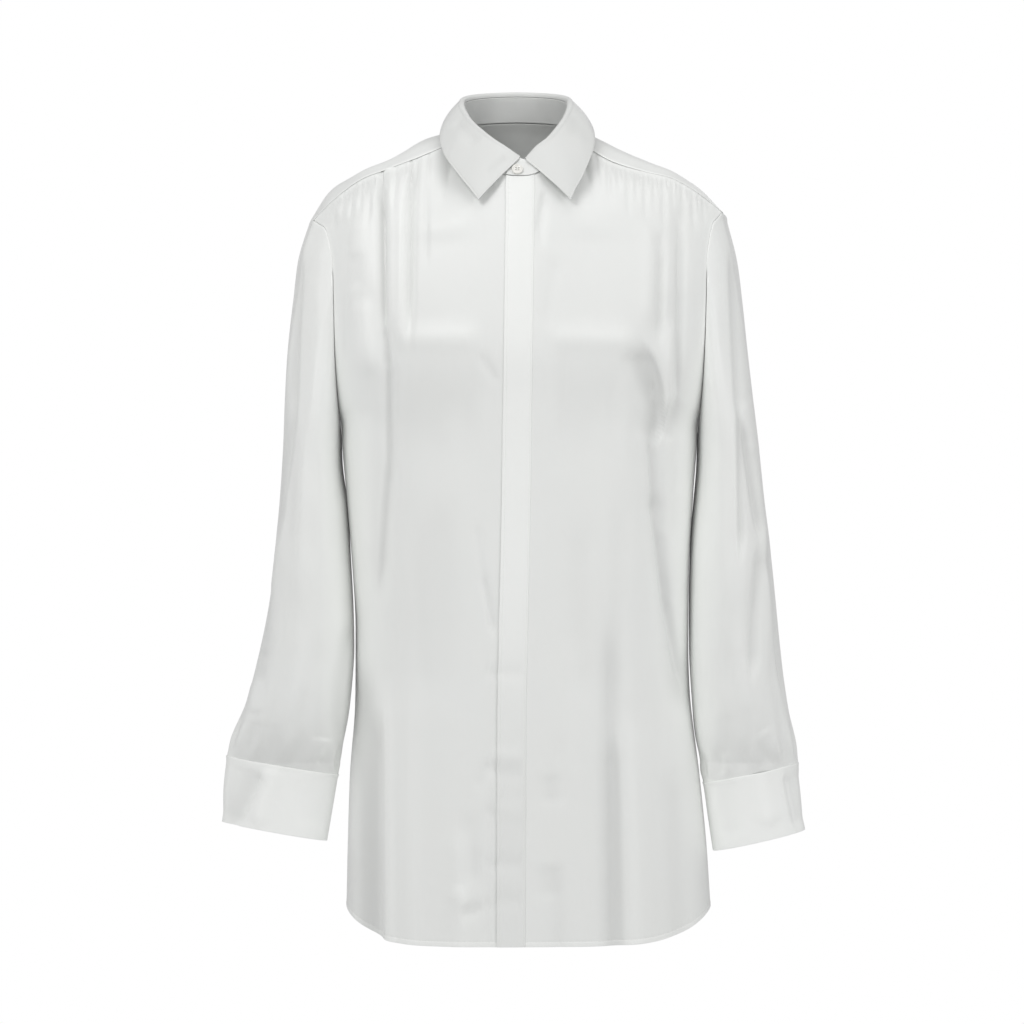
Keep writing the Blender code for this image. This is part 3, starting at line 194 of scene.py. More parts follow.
LEAF_FRONT_STATIONS, LEAF_ROLL_TURNS = 5, (180, 10)
CUFF_MIDDLE_POINTS = 12
BUTTON_SEGMENTS, HOLE_SEGMENTS, BUTTON_RINGS = 72, 24, 40
SHARP_ANGLE = math.radians(50)

# Stitches: length, the gap between two, and the thread's radius
STITCH_LENGTH, STITCH_SPACE, THREAD_RADIUS = 2.3, 0.7, 0.13
# The five rings of a stitch: where they lie, by its length, and their size and lift, by the thread's radius
RING_PLACES, RING_WIDTHS = np.array([-0.5, -0.32, 0.0, 0.32, 0.5]), np.array([0.35, 0.85, 1.0, 0.85, 0.35])
RING_LIFTS = np.array([-0.9, 0.1, 0.35, 0.1, -0.9])
RING_CORNERS, STITCH_BREADTH, TANGENT_STEP = 4, 1.25, 0.4
# Satin stitches, their bars at a buttonhole's end, and how much of each buttonhole shows beside its button
SATIN_PITCH, SATIN_LENGTH, SATIN_RADIUS, SATIN_INSIDE, SATIN_SHARE = 0.42, 1.15, 0.19, 0.12, 0.96
END_BARS, END_BAR_HALF = 5, 0.6
HOLE_SHOWING = 4.4
CUFF_HOLE_TURNS = (-0.34, -0.17)
# Thread over a button: its strands, side by side, and their height by the button's
STRANDS, STRAND_HEIGHT = (-0.3, 0.0, 0.3), 0.74

# Stage, in metres, and the width of the camera's sensor, in millimetres
FLOOR_RADIUS, FLOOR_CORNERS = 3.4, 128
FLOOR_COLOUR, FLOOR_ROUGHNESS = (0.86, 0.86, 0.86), 0.8
SHIRT_MIDDLE = (0.0, 0.0, -0.35)
CAMERA_PLACE = (-0.005, -4.0, -0.352)
SENSOR_WIDTH = 36
# Each light's place, what it looks at and its size
LIGHTS = (
    ("key", (-1.3, -2.3, 1.5), (0.0, 0.0, -0.15), 1.2),
    ("fill", (2.0, -2.3, 0.8), SHIRT_MIDDLE, 1.6),
    ("top", (0.2, -0.3, 2.1), SHIRT_MIDDLE, 1.6),
)


def table(columns, *rows):
    """Give each named column of a table as an array."""
    return dict(zip(columns.split(), np.array(rows, float).T))


def folds_of(*rows):
    """A table of folds: each line's two ends, how far it bows to its side, its half width and its depth."""
    return table("x0 z0 x1 z1 bow width depth", *rows)


def pleats_of(*rows):
    """A table of uneven folds: as above, and last the width at the right as a share of that at the left."""
    return table("x0 z0 x1 z1 bow width depth lean", *rows)


def gathers_of(*rows):
    """A table of gathers: place along x at the seam, how long each runs down, half width and depth."""
    return table("x length width depth", *rows)


def points_of(rows, *names):
    """Stack three named columns into points."""
    return np.stack([rows[name] for name in names], axis=-1)


# Sections of the two fronts, by their drop from the top edge. Each goes from the centre line's z and y to the
# armhole or side seam on both sides: part of an oval of such a turn and power, rising by the last power.
FRONT = table(
    "drop zc yc xl yl zl xr yr zr turn power rise",
    (50, -52, -102, -190, -46, -71, 194, -46, -66, 52, 2, 1),
    (90, -92, -111, -183, -54, -96, 188, -54, -94, 56, 2, 1),
    (140, -140, -119, -181, -58, -140, 186.5, -58, -140, 62, 2, 1),
    (195, -195, -124, -180, -52, -195, 185, -52, -195, 72, 2, 1),
    (245, -245, -119, -177.5, -32, -243, 182.5, -32, -243, 82, 2.1, 1),
    (285, -285, -116, -175, 3, -276, 180, 3, -276, 90, 2.3, 1.5),
    (340, -340, -114, -170.5, 3, -335, 176, 3, -335, 90, 2.4, 2),
    (405, -405, -113, -165, 3, -400, 172, 3, -400, 90, 2.5, 2),
    (475, -475, -112, -161.5, 3, -470, 171, 3, -470, 90, 2.5, 2),
    (550, -550, -112, -162, 3, -542, 173.5, 3, -542, 90, 2.5, 2),
    (625, -625, -112, -167, 3, -612, 182, 3, -612, 90, 2.5, 3),
    (690, -692, -113, -169, 3, -674, 188.5, 3, -674, 90, 2.5, 4.5),
    (774, -775, -114, -170.5, 3, -745, 193.5, 3, -745, 90, 2.5, 6.5),
)

# Sections of the back, as above. Below the underarm its side points are the fronts' own.
BACK = table(
    "drop zc yc xl yl zl xr yr zr turn power rise",
    (40, -98, 102, -189, 55, -108, 193, 55, -106, 48, 2, 1),
    (90, -150, 106, -185, 59, -150, 190, 59, -150, 58, 2, 1),
    (145, -200, 108, -182.5, 54, -200, 187.5, 54, -200, 70, 2, 1),
    (235, -246, 107, -179, 34, -245, 184, 34, -245, 80, 2, 1),
    (285, -285, 105, -175, 3, -276, 180, 3, -276, 90, 2.1, 1.5),
    (340, -340, 102, -170.5, 3, -335, 176, 3, -335, 90, 2.2, 2),
    (405, -405, 98, -165, 3, -400, 172, 3, -400, 90, 2.3, 2),
    (475, -475, 96, -161.5, 3, -470, 171, 3, -470, 90, 2.3, 2),
    (550, -550, 99, -162, 3, -542, 173.5, 3, -542, 90, 2.3, 2),
    (625, -625, 106, -167, 3, -612, 182, 3, -612, 90, 2.3, 3),
    (690, -692, 110, -169, 3, -674, 188.5, 3, -674, 90, 2.3, 4.5),
    (774, -772, 112, -170.5, 3, -745, 193.5, 3, -745, 90, 2.3, 6.5),
)

# The placket's centre line, which is the centre line of both fronts.
CENTRE_LINE = table("z x", (-24, 3.3), (-350, -1.0), (-540, -5.1), (-775, -5.7))

# Front half of the neck seam, from the centre front to the yoke's corner.
NECK_FRONT = table(
    "x y z",
    (3, -95, -24),
    (14, -94.3, -22.8),
    (27, -88.5, -15.5),
    (44, -72, -0.5),
    (56, -50, 11),
    (61, -36, 15.5),
)

# The yoke as columns of points fanning from the neck (share 0) to its outer edge (share 1). Left in their
# names is the side at minus x.
YOKE_SHARES = (0.0, 0.2, 0.45, 0.7, 0.88, 1.0)
YOKE_COLUMNS = {
    "front_seam_left": (
        (-61, -36, 15.5), (-92, -47, 1.5), (-128, -48, -12.5), (-160, -46, -26), (-187, -40, -47),
        (-202, -30, -62)),
    "ridge_left": (
        (-65, 3, 27), (-94, 6, 20), (-129, 9, -1), (-164, 9, -16), (-190, 7, -34), (-207, 4, -61)),
    "corner_left": (
        (-57, 36, 36), (-84, 45, 23), (-116, 52, -1), (-148, 56, -24), (-178, 54, -52), (-194, 48, -82)),
    "quarter_left": (
        (-33, 58, 41), (-45, 67, 28), (-62, 77, 8), (-80, 86, -18), (-93, 91, -44), (-101, 93, -68)),
    "centre": (
        (0, 65, 43), (0, 74, 31), (0, 84, 10), (0, 91, -16), (0, 95, -40), (0, 97, -60)),
    "quarter_right": (
        (33, 58, 41), (45, 67, 28), (62, 77, 8), (80, 86, -18), (94, 91, -44), (103, 93, -67)),
    "corner_right": (
        (57, 36, 36), (82, 45, 22), (115, 52, 0), (150, 56, -23), (180, 54, -50), (198, 48, -79)),
    "ridge_right": (
        (65, 3, 27), (88, 6, 18), (126, 9, 0), (162, 9, -16), (188, 7, -33), (210, 4, -58)),
    "front_seam_right": (
        (61, -36, 15.5), (90, -47, -3), (126, -48, -15), (158, -46, -23.5), (184, -40, -39),
        (204, -30, -54)),
}
YOKE_CENTRE = 4
YOKE_CORNER = 2
YOKE_LAST = 8

# Sleeve sections by height, level ovals: outermost and innermost x, half depth and centre depth.
SLEEVE = {
    -1: table(
        "z out inside depth middle",
        (-600, -290, -177, 44, -17),
        (-580, -284, -173, 52, -16),
        (-540, -269, -168, 62, -14),
        (-490, -257, -167, 66, -11),
        (-440, -248, -168, 68, -8),
        (-390, -242, -170.5, 70, -6),
        (-340, -237, -174, 71, -4),
        (-290, -233.5, -178, 70, -2),
        (-240, -231.5, -178.5, 68, -1),
        (-190, -229, -178, 64, 0),
        (-140, -224, -178, 60, 1),
        (-100, -219, -178, 56, 2),
        (-60, -206, -178, 52, 3),
    ),
    1: table(
        "z out inside depth middle",
        (-600, 279, 184, 44, -15),
        (-580, 276, 180.5, 52, -14),
        (-540, 269, 177, 62, -12),
        (-490, 263, 174.5, 66, -10),
        (-440, 258, 174.5, 68, -8),
        (-390, 253, 175.5, 70, -6),
        (-340, 247, 179.5, 71, -4),
        (-290, 242, 183, 70, -2),
        (-240, 236, 183.5, 68, -1),
        (-190, 230, 183, 64, 0),
        (-140, 224.5, 183, 60, 1),
        (-100, 219, 183, 56, 2),
        (-60, 209, 183, 52, 3),
    ),
}

# Cuff rings: outer and inner x and z, half depth and centre depth.
CUFF = {
    -1: table(
        "out z_out inside z_inside depth middle",
        (-289, -595, -178, -614, 23, -18),
        (-293, -628, -183.5, -647, 22, -18.5),
        (-294, -660, -189, -679, 22, -19),
    ),
    1: table(
        "out z_out inside z_inside depth middle",
        (280, -602, 185.5, -622, 31, -16),
        (284, -635, 190, -655, 30, -16.5),
        (287, -668, 195, -689, 30, -17),
    ),
}

# Top of the collar's fold and its outer edge, from the front end to the centre back.
COLLAR = {
    -1: table(
        "fold_x fold_y fold_z edge_x edge_y edge_z",
        (-0.5, -86, 0.8, -38, -108, -47.8),
        (-12, -82, 7, -46, -100, -37),
        (-26, -72, 17, -56, -90, -24),
        (-44, -50, 34, -68, -75, -7),
        (-51, -32, 45, -73.5, -60, 4),
        (-55.5, -10, 57.5, -77, -34, 19),
        (-53, 17, 65, -76, 10, 33),
        (-42, 41, 70, -62, 49, 38),
        (-22, 56, 73, -34, 71, 34),
        (0, 60, 74, 0, 79, 31),
    ),
    1: table(
        "fold_x fold_y fold_z edge_x edge_y edge_z",
        (9.6, -86, -1.6, 52.4, -108, -47.5),
        (19, -82, 7, 57, -101, -37),
        (32, -72, 18, 64, -90, -24),
        (44.5, -50, 35, 71, -75, -7),
        (50, -32, 46, 75, -60, 4),
        (53, -10, 58, 77.5, -34, 19),
        (51, 17, 65, 76, 10, 33),
        (41, 41, 70, 62, 49, 38),
        (22, 56, 73, 34, 71, 34),
        (0, 60, 74, 0, 79, 31),
    ),
}

# How a fold fades in and out, by its length, and how narrow a pleat is at its ends. A fold that ends below
# HEM_FOLD runs out at the hem.
HEM_FOLD = -770
FOLD_FADE_IN, FOLD_FADE_OUT = 0.2, 0.25
PLEAT_END = 0.3

# Folds of the fronts as seen from the front. A depth above 0 is a ridge, and one below it a trough.
FRONT_FOLDS = folds_of(
    (-117, -16, -117, -200, 0, 10, 4.5), (-103, -8, -104, -205, 0, 4, -2.2),
    (-132, -20, -126, -200, 0, 5, -2.6), (-126, -170, -124, -330, 2, 6, -2.4),
    (-124, -290, -133, -450, 2, 7, -2.6), (-156, -40, -150, -225, 0, 15, 3.5),
    (-37, -197, -18, -228, 0, 5, -1.4), (-34, -407, -19, -478, 0, 6, -1.4),
    (32, -34, 21, -100, 3, 6, -1.8), (39, -100, 26, -180, 2, 9, -1.2),
    (159, -28, 156, -280, 0, 6, -2.6), (156, -240, 153, -400, 0, 7, -2),
    (142, -70, 137, -195, 0, 5, -2.2), (112, -190, 137, -250, 3, 11, -2.6),
    (138, -238, 130, -300, 0, 8, -2.4), (131, -280, 135, -360, 0, 9, -2.6),
    (134, -330, 146, -440, 2, 10, -3.2), (144, -410, 166, -560, 3, 11, -3.4),
    (-140, -540, -139, -774, 0, 10, -5.8), (-109, -500, -104, -774, 0, 16, 2.2),
    (91, -440, 94, -774, 0, 10, -3.4), (112, -540, 118, -774, 0, 13, 2.6),
    (150, -600, 156, -774, 0, 13, -2.4), (-56, -660, -54, -774, 0, 11, 2),
    (-41, -670, -43, -760, 0, 7, -1), (-25, -594, -40, -624, 0, 6, -1.2),
    (39, -690, 41, -774, 0, 8, -1.4), (60, -350, 66, -560, 2, 18, -1.6),
    (-78, -330, -74, -560, -3, 20, -1.6), (-150, -240, -146, -420, 0, 12, 1.8),
)

# Folds of the back, also as seen from the front.
BACK_FOLDS = folds_of(
    (-12, -62, -14, -330, 0, 9, 3.2), (8, -62, 7, -300, 0, 8, -2.4),
    (-34, -62, -36, -260, 0, 8, -2.4), (60, -70, 66, -280, 0, 14, 2.4),
    (-78, -70, -84, -300, 0, 14, 2.6), (-120, -80, -126, -250, 0, 12, -2.6),
    (122, -80, 130, -270, 0, 12, -2.6), (148, -250, 120, -420, 6, 12, -3),
    (-150, -250, -118, -440, -6, 12, -3), (-40, -350, -52, -620, 3, 18, -2.4),
    (46, -330, 58, -620, -3, 18, -2.4), (0, -380, -4, -660, 0, 18, 2.4),
    (-98, -500, -104, -774, 0, 13, -4), (98, -520, 108, -774, 0, 13, -4),
    (-60, -560, -62, -774, 0, 16, 2.6), (62, -560, 64, -774, 0, 16, 2.6),
    (-8, -600, -6, -774, 0, 13, -3.2), (-138, -560, -136, -774, 0, 12, 2.4),
    (146, -560, 152, -774, 0, 12, 2.4),
)

# Gathers under the yoke.
GATHERS_FRONT = gathers_of(
    (-189, 32, 2.6, -1.5), (-181, 48, 2.6, -1.6), (-172, 40, 2.8, -1.5), (-163, 58, 2.8, -1.6),
    (-154, 42, 2.8, -1.7), (-145.5, 62, 2.8, -1.7), (-137, 46, 2.7, -1.6), (-128.5, 38, 2.6, -1.4),
    (-120, 56, 2.6, -1.5), (-111, 40, 2.6, -1.4), (-99, 60, 3, -1.6), (-87, 36, 3, -1.3),
    (79, 40, 3, -1.4), (90, 56, 2.8, -1.6), (99.5, 38, 2.6, -1.5), (109, 62, 2.6, -1.6),
    (117.5, 44, 2.6, -1.7), (126, 60, 2.7, -1.7), (135, 42, 2.7, -1.6), (144, 66, 2.8, -1.6),
    (153.5, 40, 2.8, -1.5), (163.5, 54, 2.8, -1.7), (174, 50, 2.8, -1.6), (184.5, 36, 2.6, -1.5),
)
GATHERS_BACK = gathers_of(
    (-158, 60, 4.6, -1.8), (-141, 84, 4.6, -2), (-124, 62, 4.6, -1.9), (-107, 90, 4.6, -2),
    (-90, 64, 4.6, -1.8), (-73, 82, 4.6, -1.8), (-56, 58, 4.6, -1.5), (56, 60, 4.6, -1.5),
    (73, 86, 4.6, -1.8), (90, 62, 4.6, -1.9), (107, 88, 4.6, -2), (124, 60, 4.6, -1.9),
    (141, 80, 4.6, -2), (158, 58, 4.6, -1.8),
)
# Fine gathers between those of the fronts.
GATHERS_FINE = gathers_of(
    (-193, 18, 1.5, -1.4), (-185, 26, 1.5, -1.5), (-177, 20, 1.5, -1.4), (-167.5, 30, 1.5, -1.5),
    (-159, 24, 1.4, -1.6), (-149.5, 36, 1.5, -1.6), (-141.5, 28, 1.4, -1.5), (-133, 20, 1.4, -1.4),
    (-124.5, 26, 1.4, -1.2), (-115, 22, 1.4, -1.2), (-105, 30, 1.5, -1.4),
    (84, 22, 1.5, -1.2), (95, 20, 1.4, -1.4), (104, 28, 1.4, -1.5), (113, 20, 1.4, -1.5),
    (121.5, 32, 1.4, -1.6), (130.5, 26, 1.4, -1.6), (139.5, 34, 1.4, -1.5), (149, 24, 1.5, -1.5),
    (158.5, 30, 1.5, -1.5), (169, 22, 1.5, -1.4), (179.5, 28, 1.5, -1.5), (189.5, 18, 1.5, -1.4),
)
# How much deeper the fronts' gathers are made, how far below the seam a gather fades in, and over which share
# of its length it fades out
FRONT_GATHER_SHARE = 1.4
GATHER_FADE_IN = 2.5
GATHER_FADE_OUT = 0.8

# Sleeve folds by angle round the arm (0 outer, 90 front, 180 inner, 270 back) and share of its length.
SLEEVE_FOLDS = table(
    "angle0 share0 angle1 share1 width depth",
    (62, 0.30, 52, 0.62, 14, -3),
    (100, 0.26, 92, 0.58, 15, -2.2),
    (38, 0.40, 30, 0.78, 13, 2.4),
    (80, 0.60, 66, 0.92, 13, -2),
    (112, 0.66, 98, 0.95, 12, -1.6),
    (48, 0.74, 40, 0.96, 11, -1.6),
    (262, 0.30, 276, 0.64, 15, -3),
    (300, 0.24, 310, 0.60, 15, -2.6),
    (240, 0.50, 250, 0.86, 13, -2.8),
    (285, 0.64, 292, 0.95, 12, -3.2),
    (322, 0.70, 326, 0.95, 11, -2.4),
)
# Gathers round a sleeve's end: how many, how deep, from which share of its length, and how they fade
CUFF_GATHERS = 12
CUFF_GATHER_DEPTH = 1.6
CUFF_GATHER_START = 0.9
CUFF_GATHER_IN, CUFF_GATHER_OUT = 0.06, 0.035
CUFF_GATHER_SHIFT = 30
SLEEVE_FOLD_FADE = 0.3

# Finer creases of the fronts.
FRONT_CREASES = folds_of(
    (-124, -181, -27, -183, 1, 12, 2.8), (-126, -252, -27, -256, 1, 45, -2),
    (28, -183, 124, -185, -1, 12, 2.8), (30, -254, 110, -258, -1, 45, -2),
    (-126, 4, -123, -184, 0, 4.5, 1.9), (-110.5, 4, -112, -184, 0, 4.5, 1.7),
    (-88, -16, -89, -120, 0, 3, -1), (-150, -140, -142, -222, 1, 9, 2.2),
    (-157, -96, -157, -136, 0, 7, -1.8), (-166, -60, -168, -220, 0, 5, -1.4),
    (152, -160, 149, -262, 1, 6, 2.4), (128, -60, 126, -180, 0, 9, 1.4),
    (28, -34, 19, -84, 1, 3, -1.4), (-34, -410, -22, -476, 0, 3.2, -1.2),
    (-40, -360, -34, -420, 0, 4, -1), (-151, -490, -149, -775, 0, 11, -4.6),
    (-127, -510, -126, -775, 0, 7, 3.4),
    *((-26, z, 9, z - 2, 0, width, depth) for z, width, depth in (
        (-507, 7, -1.3), (-588, 7, 1.3), (-605, 8, -1.3), (-640, 8, 1), (-692, 9, -1.5), (-728, 8, -1.2))),
    (-59, -716, -49, -738, 0, 9, 2), (-47, -640, -41, -722, 0, 10, -1.5),
    (-54, -747, -32, -733, 0, 5, -1.9), (32, -606, 34, -640, 0, 13, -1.4),
    (28, -694, 31, -730, 0, 12, -1.4), (-26, -610, -27, -775, 0, 3.5, -1),
    *((-33, z, -17, z - 8, 0, 5, -0.9) for z in (-505, -595, -640, -690, -730)),
    (40, -560, 33, -700, 1, 9, -0.8), (-60, -240, -52, -420, 2, 14, 0.8),
    (-96, -350, -88, -560, 2, 11, -0.9), (84, -240, 78, -470, -3, 13, 0.8),
    (104, -330, 98, -560, 2, 10, -0.9), (50, -470, 58, -640, 1, 10, 0.7),
    (168, -300, 164, -520, 2, 9, 1), (-160, -420, -158, -640, -2, 9, -1.1),
)

# Folds of the fronts that are steeper on one side.
FRONT_PLEATS = pleats_of(
    (-133, 2, -129, -200, 0, 5, -3.4, 0.42), (-105, 8, -107.5, -188, 0, 2.2, -3.2, 2.2),
    (-127.5, -168, -126, -214, 0, 6, -2.4, 0.45), (-126, -196, -127, -318, 0, 2.2, -2.6, 3.5),
    (-126, -290, -136, -430, 1, 2.4, -1.8, 3), (121, -184, 131, -296, -16, 17, -6, 0.2),
    (135, -222, 131, -290, -7, 5, -1.8, 0.4), (130, -278, 136, -386, -1, 2.4, -2.4, 3),
    (136, -362, 147, -456, 0, 2.4, -2.4, 3), (144, -430, 165, -530, 1, 2.4, -2.2, 3),
    (160, -60, 158, -262, 0, 2.4, -2, 2.4), (158, -236, 146, -286, 2, 3, -2.4, 2),
    (143.5, -92, 140, -196, 0, 6, -2, 0.4), (95, -560, 101, -775, 0, 14, -2.8, 0.45),
)

# Finer creases of the back.
BACK_CREASES = folds_of(
    (-110, -196, -20, -204, 0, 16, -1.1), (24, -202, 116, -194, 0, 16, -1.1),
    (-62, -260, -56, -470, 2, 12, 0.9), (72, -250, 66, -480, -2, 12, 0.9),
    (-130, -380, -122, -600, 2, 10, -1), (132, -390, 126, -610, -2, 10, -1),
    (-24, -520, -28, -740, 1, 9, -0.9), (34, -540, 38, -750, -1, 9, 0.8),
)

# Creases of each sleeve as seen from the front, on its front half, and from the same side on its back half.
SLEEVE_CREASES = {
    -1: folds_of(
        (-224, -110, -229, -260, 1, 4, 1), (-196, -110, -199, -300, 1, 7, 1.2),
        (-196, -330, -205, -500, 2, 9, -1), (-246, -420, -253, -502, 2, 7, -2),
        (-251, -486, -256, -522, 1, 5, -2.6), (-262, -520, -258, -552, 0, 8, 2),
        (-256, -556, -262, -596, 0, 12, -1.8), (-206, -520, -212, -598, 1, 8, -1),
        (-190, -574, -194, -600, 0, 8, 2.2), (-166, -300, -168, -600, 0, 12, 2.2),
        (-166, -300, -166, -545, 0, 12, 2.8),
    ),
    1: folds_of(
        (228, -240, 236, -300, 0, 6, 1.4), (196, -120, 199, -300, 0, 7, 1.2),
        (212, -430, 204, -540, 2, 9, -1.2), (246, -400, 248, -520, 1, 8, 1.6),
        (206, -548, 208, -598, 1, 6, -1.4), (240, -566, 262, -596, 1, 8, 2),
        (226, -540, 228, -598, 0, 8, -1.2), (176, -300, 178, -640, 0, 12, 2.9),
    ),
}
SLEEVE_PLEATS = {
    -1: pleats_of(
        (-212, -80, -218, -278, 2, 8, -2.8, 0.3), (-217, -240, -236, -392, 1, 8, -2.8, 0.3),
        (-168, -455, -177, -592, 1, 7, -2.6, 0.35),
    ),
    1: pleats_of(
        (211, -80, 218, -284, 1, 2.4, -3.4, 3), (218, -240, 219, -410, 0, 2.4, -4.4, 2.8),
        (222, -258, 241, -388, 1, 2.6, -3.8, 2.6), (240, -376, 230, -528, 3, 4.5, -3.8, 2),
        (246, -366, 266, -548, 2, 2.6, -3.4, 2.4),
    ),
}
SLEEVE_BACK_CREASES = {
    -1: folds_of(
        (-210, -120, -220, -320, 2, 7, -1.8), (-196, -180, -202, -420, 1, 8, 1.2),
        (-232, -360, -250, -560, 2, 8, -2), (-206, -440, -222, -600, 2, 7, -2),
        (-190, -490, -194, -604, 0, 6, -1.6), (-166, -300, -168, -600, 0, 12, 2.2),
        (-166, -300, -166, -545, 0, 12, 2.8),
    ),
    1: folds_of(
        (214, -130, 222, -330, 2, 7, -1.8), (197, -190, 202, -420, 1, 8, 1.2),
        (232, -370, 244, -570, 2, 8, -2), (208, -450, 222, -600, 2, 7, -2),
        (194, -500, 196, -608, 0, 6, -1.6), (176, -300, 178, -640, 0, 12, 2.9),
    ),
}

# Creases of each cuff's front and of the leaf.
CUFF_CREASES = {
    -1: pleats_of(
        (-254, -604, -285, -672, 0, 22, -5, 0.3), (-238, -600, -260, -668, 1, 8, 2.2, 1),
        (-206, -610, -200, -668, 2, 12, -1, 1),
    ),
    1: pleats_of(
        (206, -612, 214, -682, 3, 10, -1.4, 1), (240, -600, 252, -668, 2, 10, 2.4, 1),
        (267, -606, 281, -672, 0, 5, -3.6, 3.5),
    ),
}
LEAF_CREASES = folds_of(
    (-33, -23, -5, -3, 0, 5, -1.3), (-61, 38, -37, 9, 1, 7, -1.6),
    (57, 45, 58, 16, 0, 8, -1.2),
)
# Half the width over which the creases of a tube's front give way to those of its back
SIDE_BLEND = 25.0

# A button's profile from its back edge over the rim to the dished face, by shares of its radius and height.
BUTTON_PROFILE = table(
    "radius height",
    (0.86, 0), (0.96, 0.08), (1, 0.3), (1, 0.66), (0.975, 0.86), (0.9, 0.99), (0.82, 0.98),
    (0.74, 0.88), (0.62, 0.72), (0.4, 0.68), (0, 0.67),
)

# How white a piece looks beside a single layer: doubled cloth is whiter, and the collar's stand and leaf are
# greyer as painted shade, for the light that falls on them less
WHITENESS_AND_PAINTED_SHADE = {"placket": 1.08, "yoke": 1.04, "cuff_right": 1.09, "cuff_left": 1.09, "collar_stand": 0.94,
             "collar_leaf": 0.88}
# Painted shade that darkens a piece towards the hem, where less light falls: the pieces, what they fall to,
# from which height and over how much
PAINTED_SHADE_TOWARDS_HEM = {"placket": 0.97}
PAINTED_SHADE_FROM, PAINTED_SHADE_RUN = -400.0, 240.0
STITCHED_PIECES = (
    ("placket", "start"), ("placket", "end"), ("collar_leaf", "bottom"), ("collar_leaf", "start"),
    ("collar_leaf", "end"), ("front_right", "bottom"), ("front_left", "bottom"), ("back", "bottom"),
)


def slopes_at(stops, values):
    """Slopes of a line that never swings past its own values: none at a turn, and limited elsewhere."""
    runs = np.diff(stops).reshape((-1,) + (1,) * (values.ndim - 1))
    steps = np.diff(values, axis=0) / runs
    slopes = np.gradient(values, stops, axis=0)
    limit = 3 * np.minimum(np.abs(steps[:-1]), np.abs(steps[1:]))
    slopes[1:-1] = np.where(steps[:-1] * steps[1:] > 0, np.clip(slopes[1:-1], -limit, limit), 0)
    return slopes


def along(stops, values, at):
    """Read a smooth line through values at rising stops: a cubic between each two, from their slopes.

    Values of three dimensions hold a line for each point of at.
    """
    stops = np.asarray(stops, float)
    values = np.asarray(values, float)
    at = np.clip(at, stops[0], stops[-1])
    slopes = slopes_at(stops, values)
    i = np.clip(np.searchsorted(stops, at, side="right") - 1, 0, len(stops) - 2)
    span = stops[i + 1] - stops[i]
    t = (at - stops[i]) / span
    each = (np.arange(values.shape[1]),) if values.ndim == 3 else ()
    low, high, slope_low, slope_high = (grid[(k, *each)] for grid in (values, slopes) for k in (i, i + 1))
    if low.ndim > t.ndim:
        t, span = t[..., None], span[..., None]
    return (
        low * (1 + 2 * t) * (1 - t) ** 2
        + high * t ** 2 * (3 - 2 * t)
        + span * (slope_low * t * (1 - t) ** 2 - slope_high * t ** 2 * (1 - t))
    )


def ease(t):
    """Go smoothly from 0 at 0 to 1 at 1."""
    t = np.clip(t, 0.0, 1.0)
    return t * t * (3 - 2 * t)


def bell(distance, width):
    """A soft bump: exp(-(distance / width)^2)."""
    return np.exp(-((distance / width) ** 2))


def lengths_along(points):
    """Distance of each point from the first, along the line, or along each column of a grid."""
    steps = np.linalg.norm(np.diff(points, axis=0), axis=-1)
    return np.concatenate([np.zeros_like(steps[:1]), np.cumsum(steps, axis=0)])


def evenly(points, count):
    """Place count points at even spacing along a line of points."""
    far = lengths_along(points)
    return at_shares(points, far / far[-1], np.linspace(0, 1, count))


def at_shares(points, shares, at):
    """Read a line of points at shares of its length."""
    return np.stack([np.interp(at, shares, points[:, axis]) for axis in range(3)], axis=-1)


def unit(vectors):
    """Scale vectors to length 1."""
    return vectors / np.maximum(np.linalg.norm(vectors, axis=-1, keepdims=True), TINY)


def turned_to(vectors, aims):
    """Turn round each vector that points away from its aim."""
    return vectors * np.where(np.sum(vectors * aims, axis=-1, keepdims=True) < 0, -1, 1)


def centre_x(z):
    """Place of the centre line at a height."""
    return np.interp(z, CENTRE_LINE["z"][::-1], CENTRE_LINE["x"][::-1])


def section(centre, side, turn, power, rise):
    """Carry part of a rounded oval from the centre line to the side, turning by turn degrees.

    Across goes as sin(theta)^(2/power) and depth as cos(theta)^(2/power), both scaled to run from end to end,
    and the height follows across^rise.
    """
    theta = np.linspace(0, math.radians(turn), 4 * GUIDE_SAMPLES)
    across = np.sin(theta) ** (2 / power)
    depth = np.clip(np.cos(theta), 0, 1) ** (2 / power)
    across = across / across[-1]
    depth = (depth - depth[-1]) / (1 - depth[-1])
    line = np.stack([
        centre[0] + (side[0] - centre[0]) * across,
        side[1] + (centre[1] - side[1]) * depth,
        centre[2] + (side[2] - centre[2]) * across ** rise,
    ], axis=-1)
    return evenly(line, GUIDE_SAMPLES)


def yoke_column(sign, number):
    """A column of the yoke, counted from the front seam of one side."""
    return number if sign < 0 else YOKE_LAST - number


def yoke_points(column, share):
    """Surface of the yoke: column 0 to 8 round the neck, share 0 to 1 from the neck outward.

    Each column is a smooth line through its points, and the surface a smooth line from column to column. One
    more lies between the first two at each end, lifted by SHOULDER_ROUND * sin(pi * share).
    """
    column, share = np.broadcast_arrays(np.asarray(column, float), np.asarray(share, float))
    flat = share.ravel()
    columns = np.stack([along(YOKE_SHARES, points, flat) for points in YOKE_COLUMNS.values()])
    rounded = np.sin(math.pi * flat)[:, None] * (SHOULDER_ROUND * UP)
    between = [(columns[a] + columns[b]) / 2 + rounded for a, b in ((0, 1), (-1, -2))]
    columns = np.concatenate([columns[:1], between[:1], columns[1:-1], between[1:], columns[-1:]])
    stops = np.concatenate([[0, 0.5], np.arange(1, YOKE_LAST), [YOKE_LAST - 0.5, YOKE_LAST]])
    return along(stops, columns, column.ravel()).reshape(column.shape + (3,))


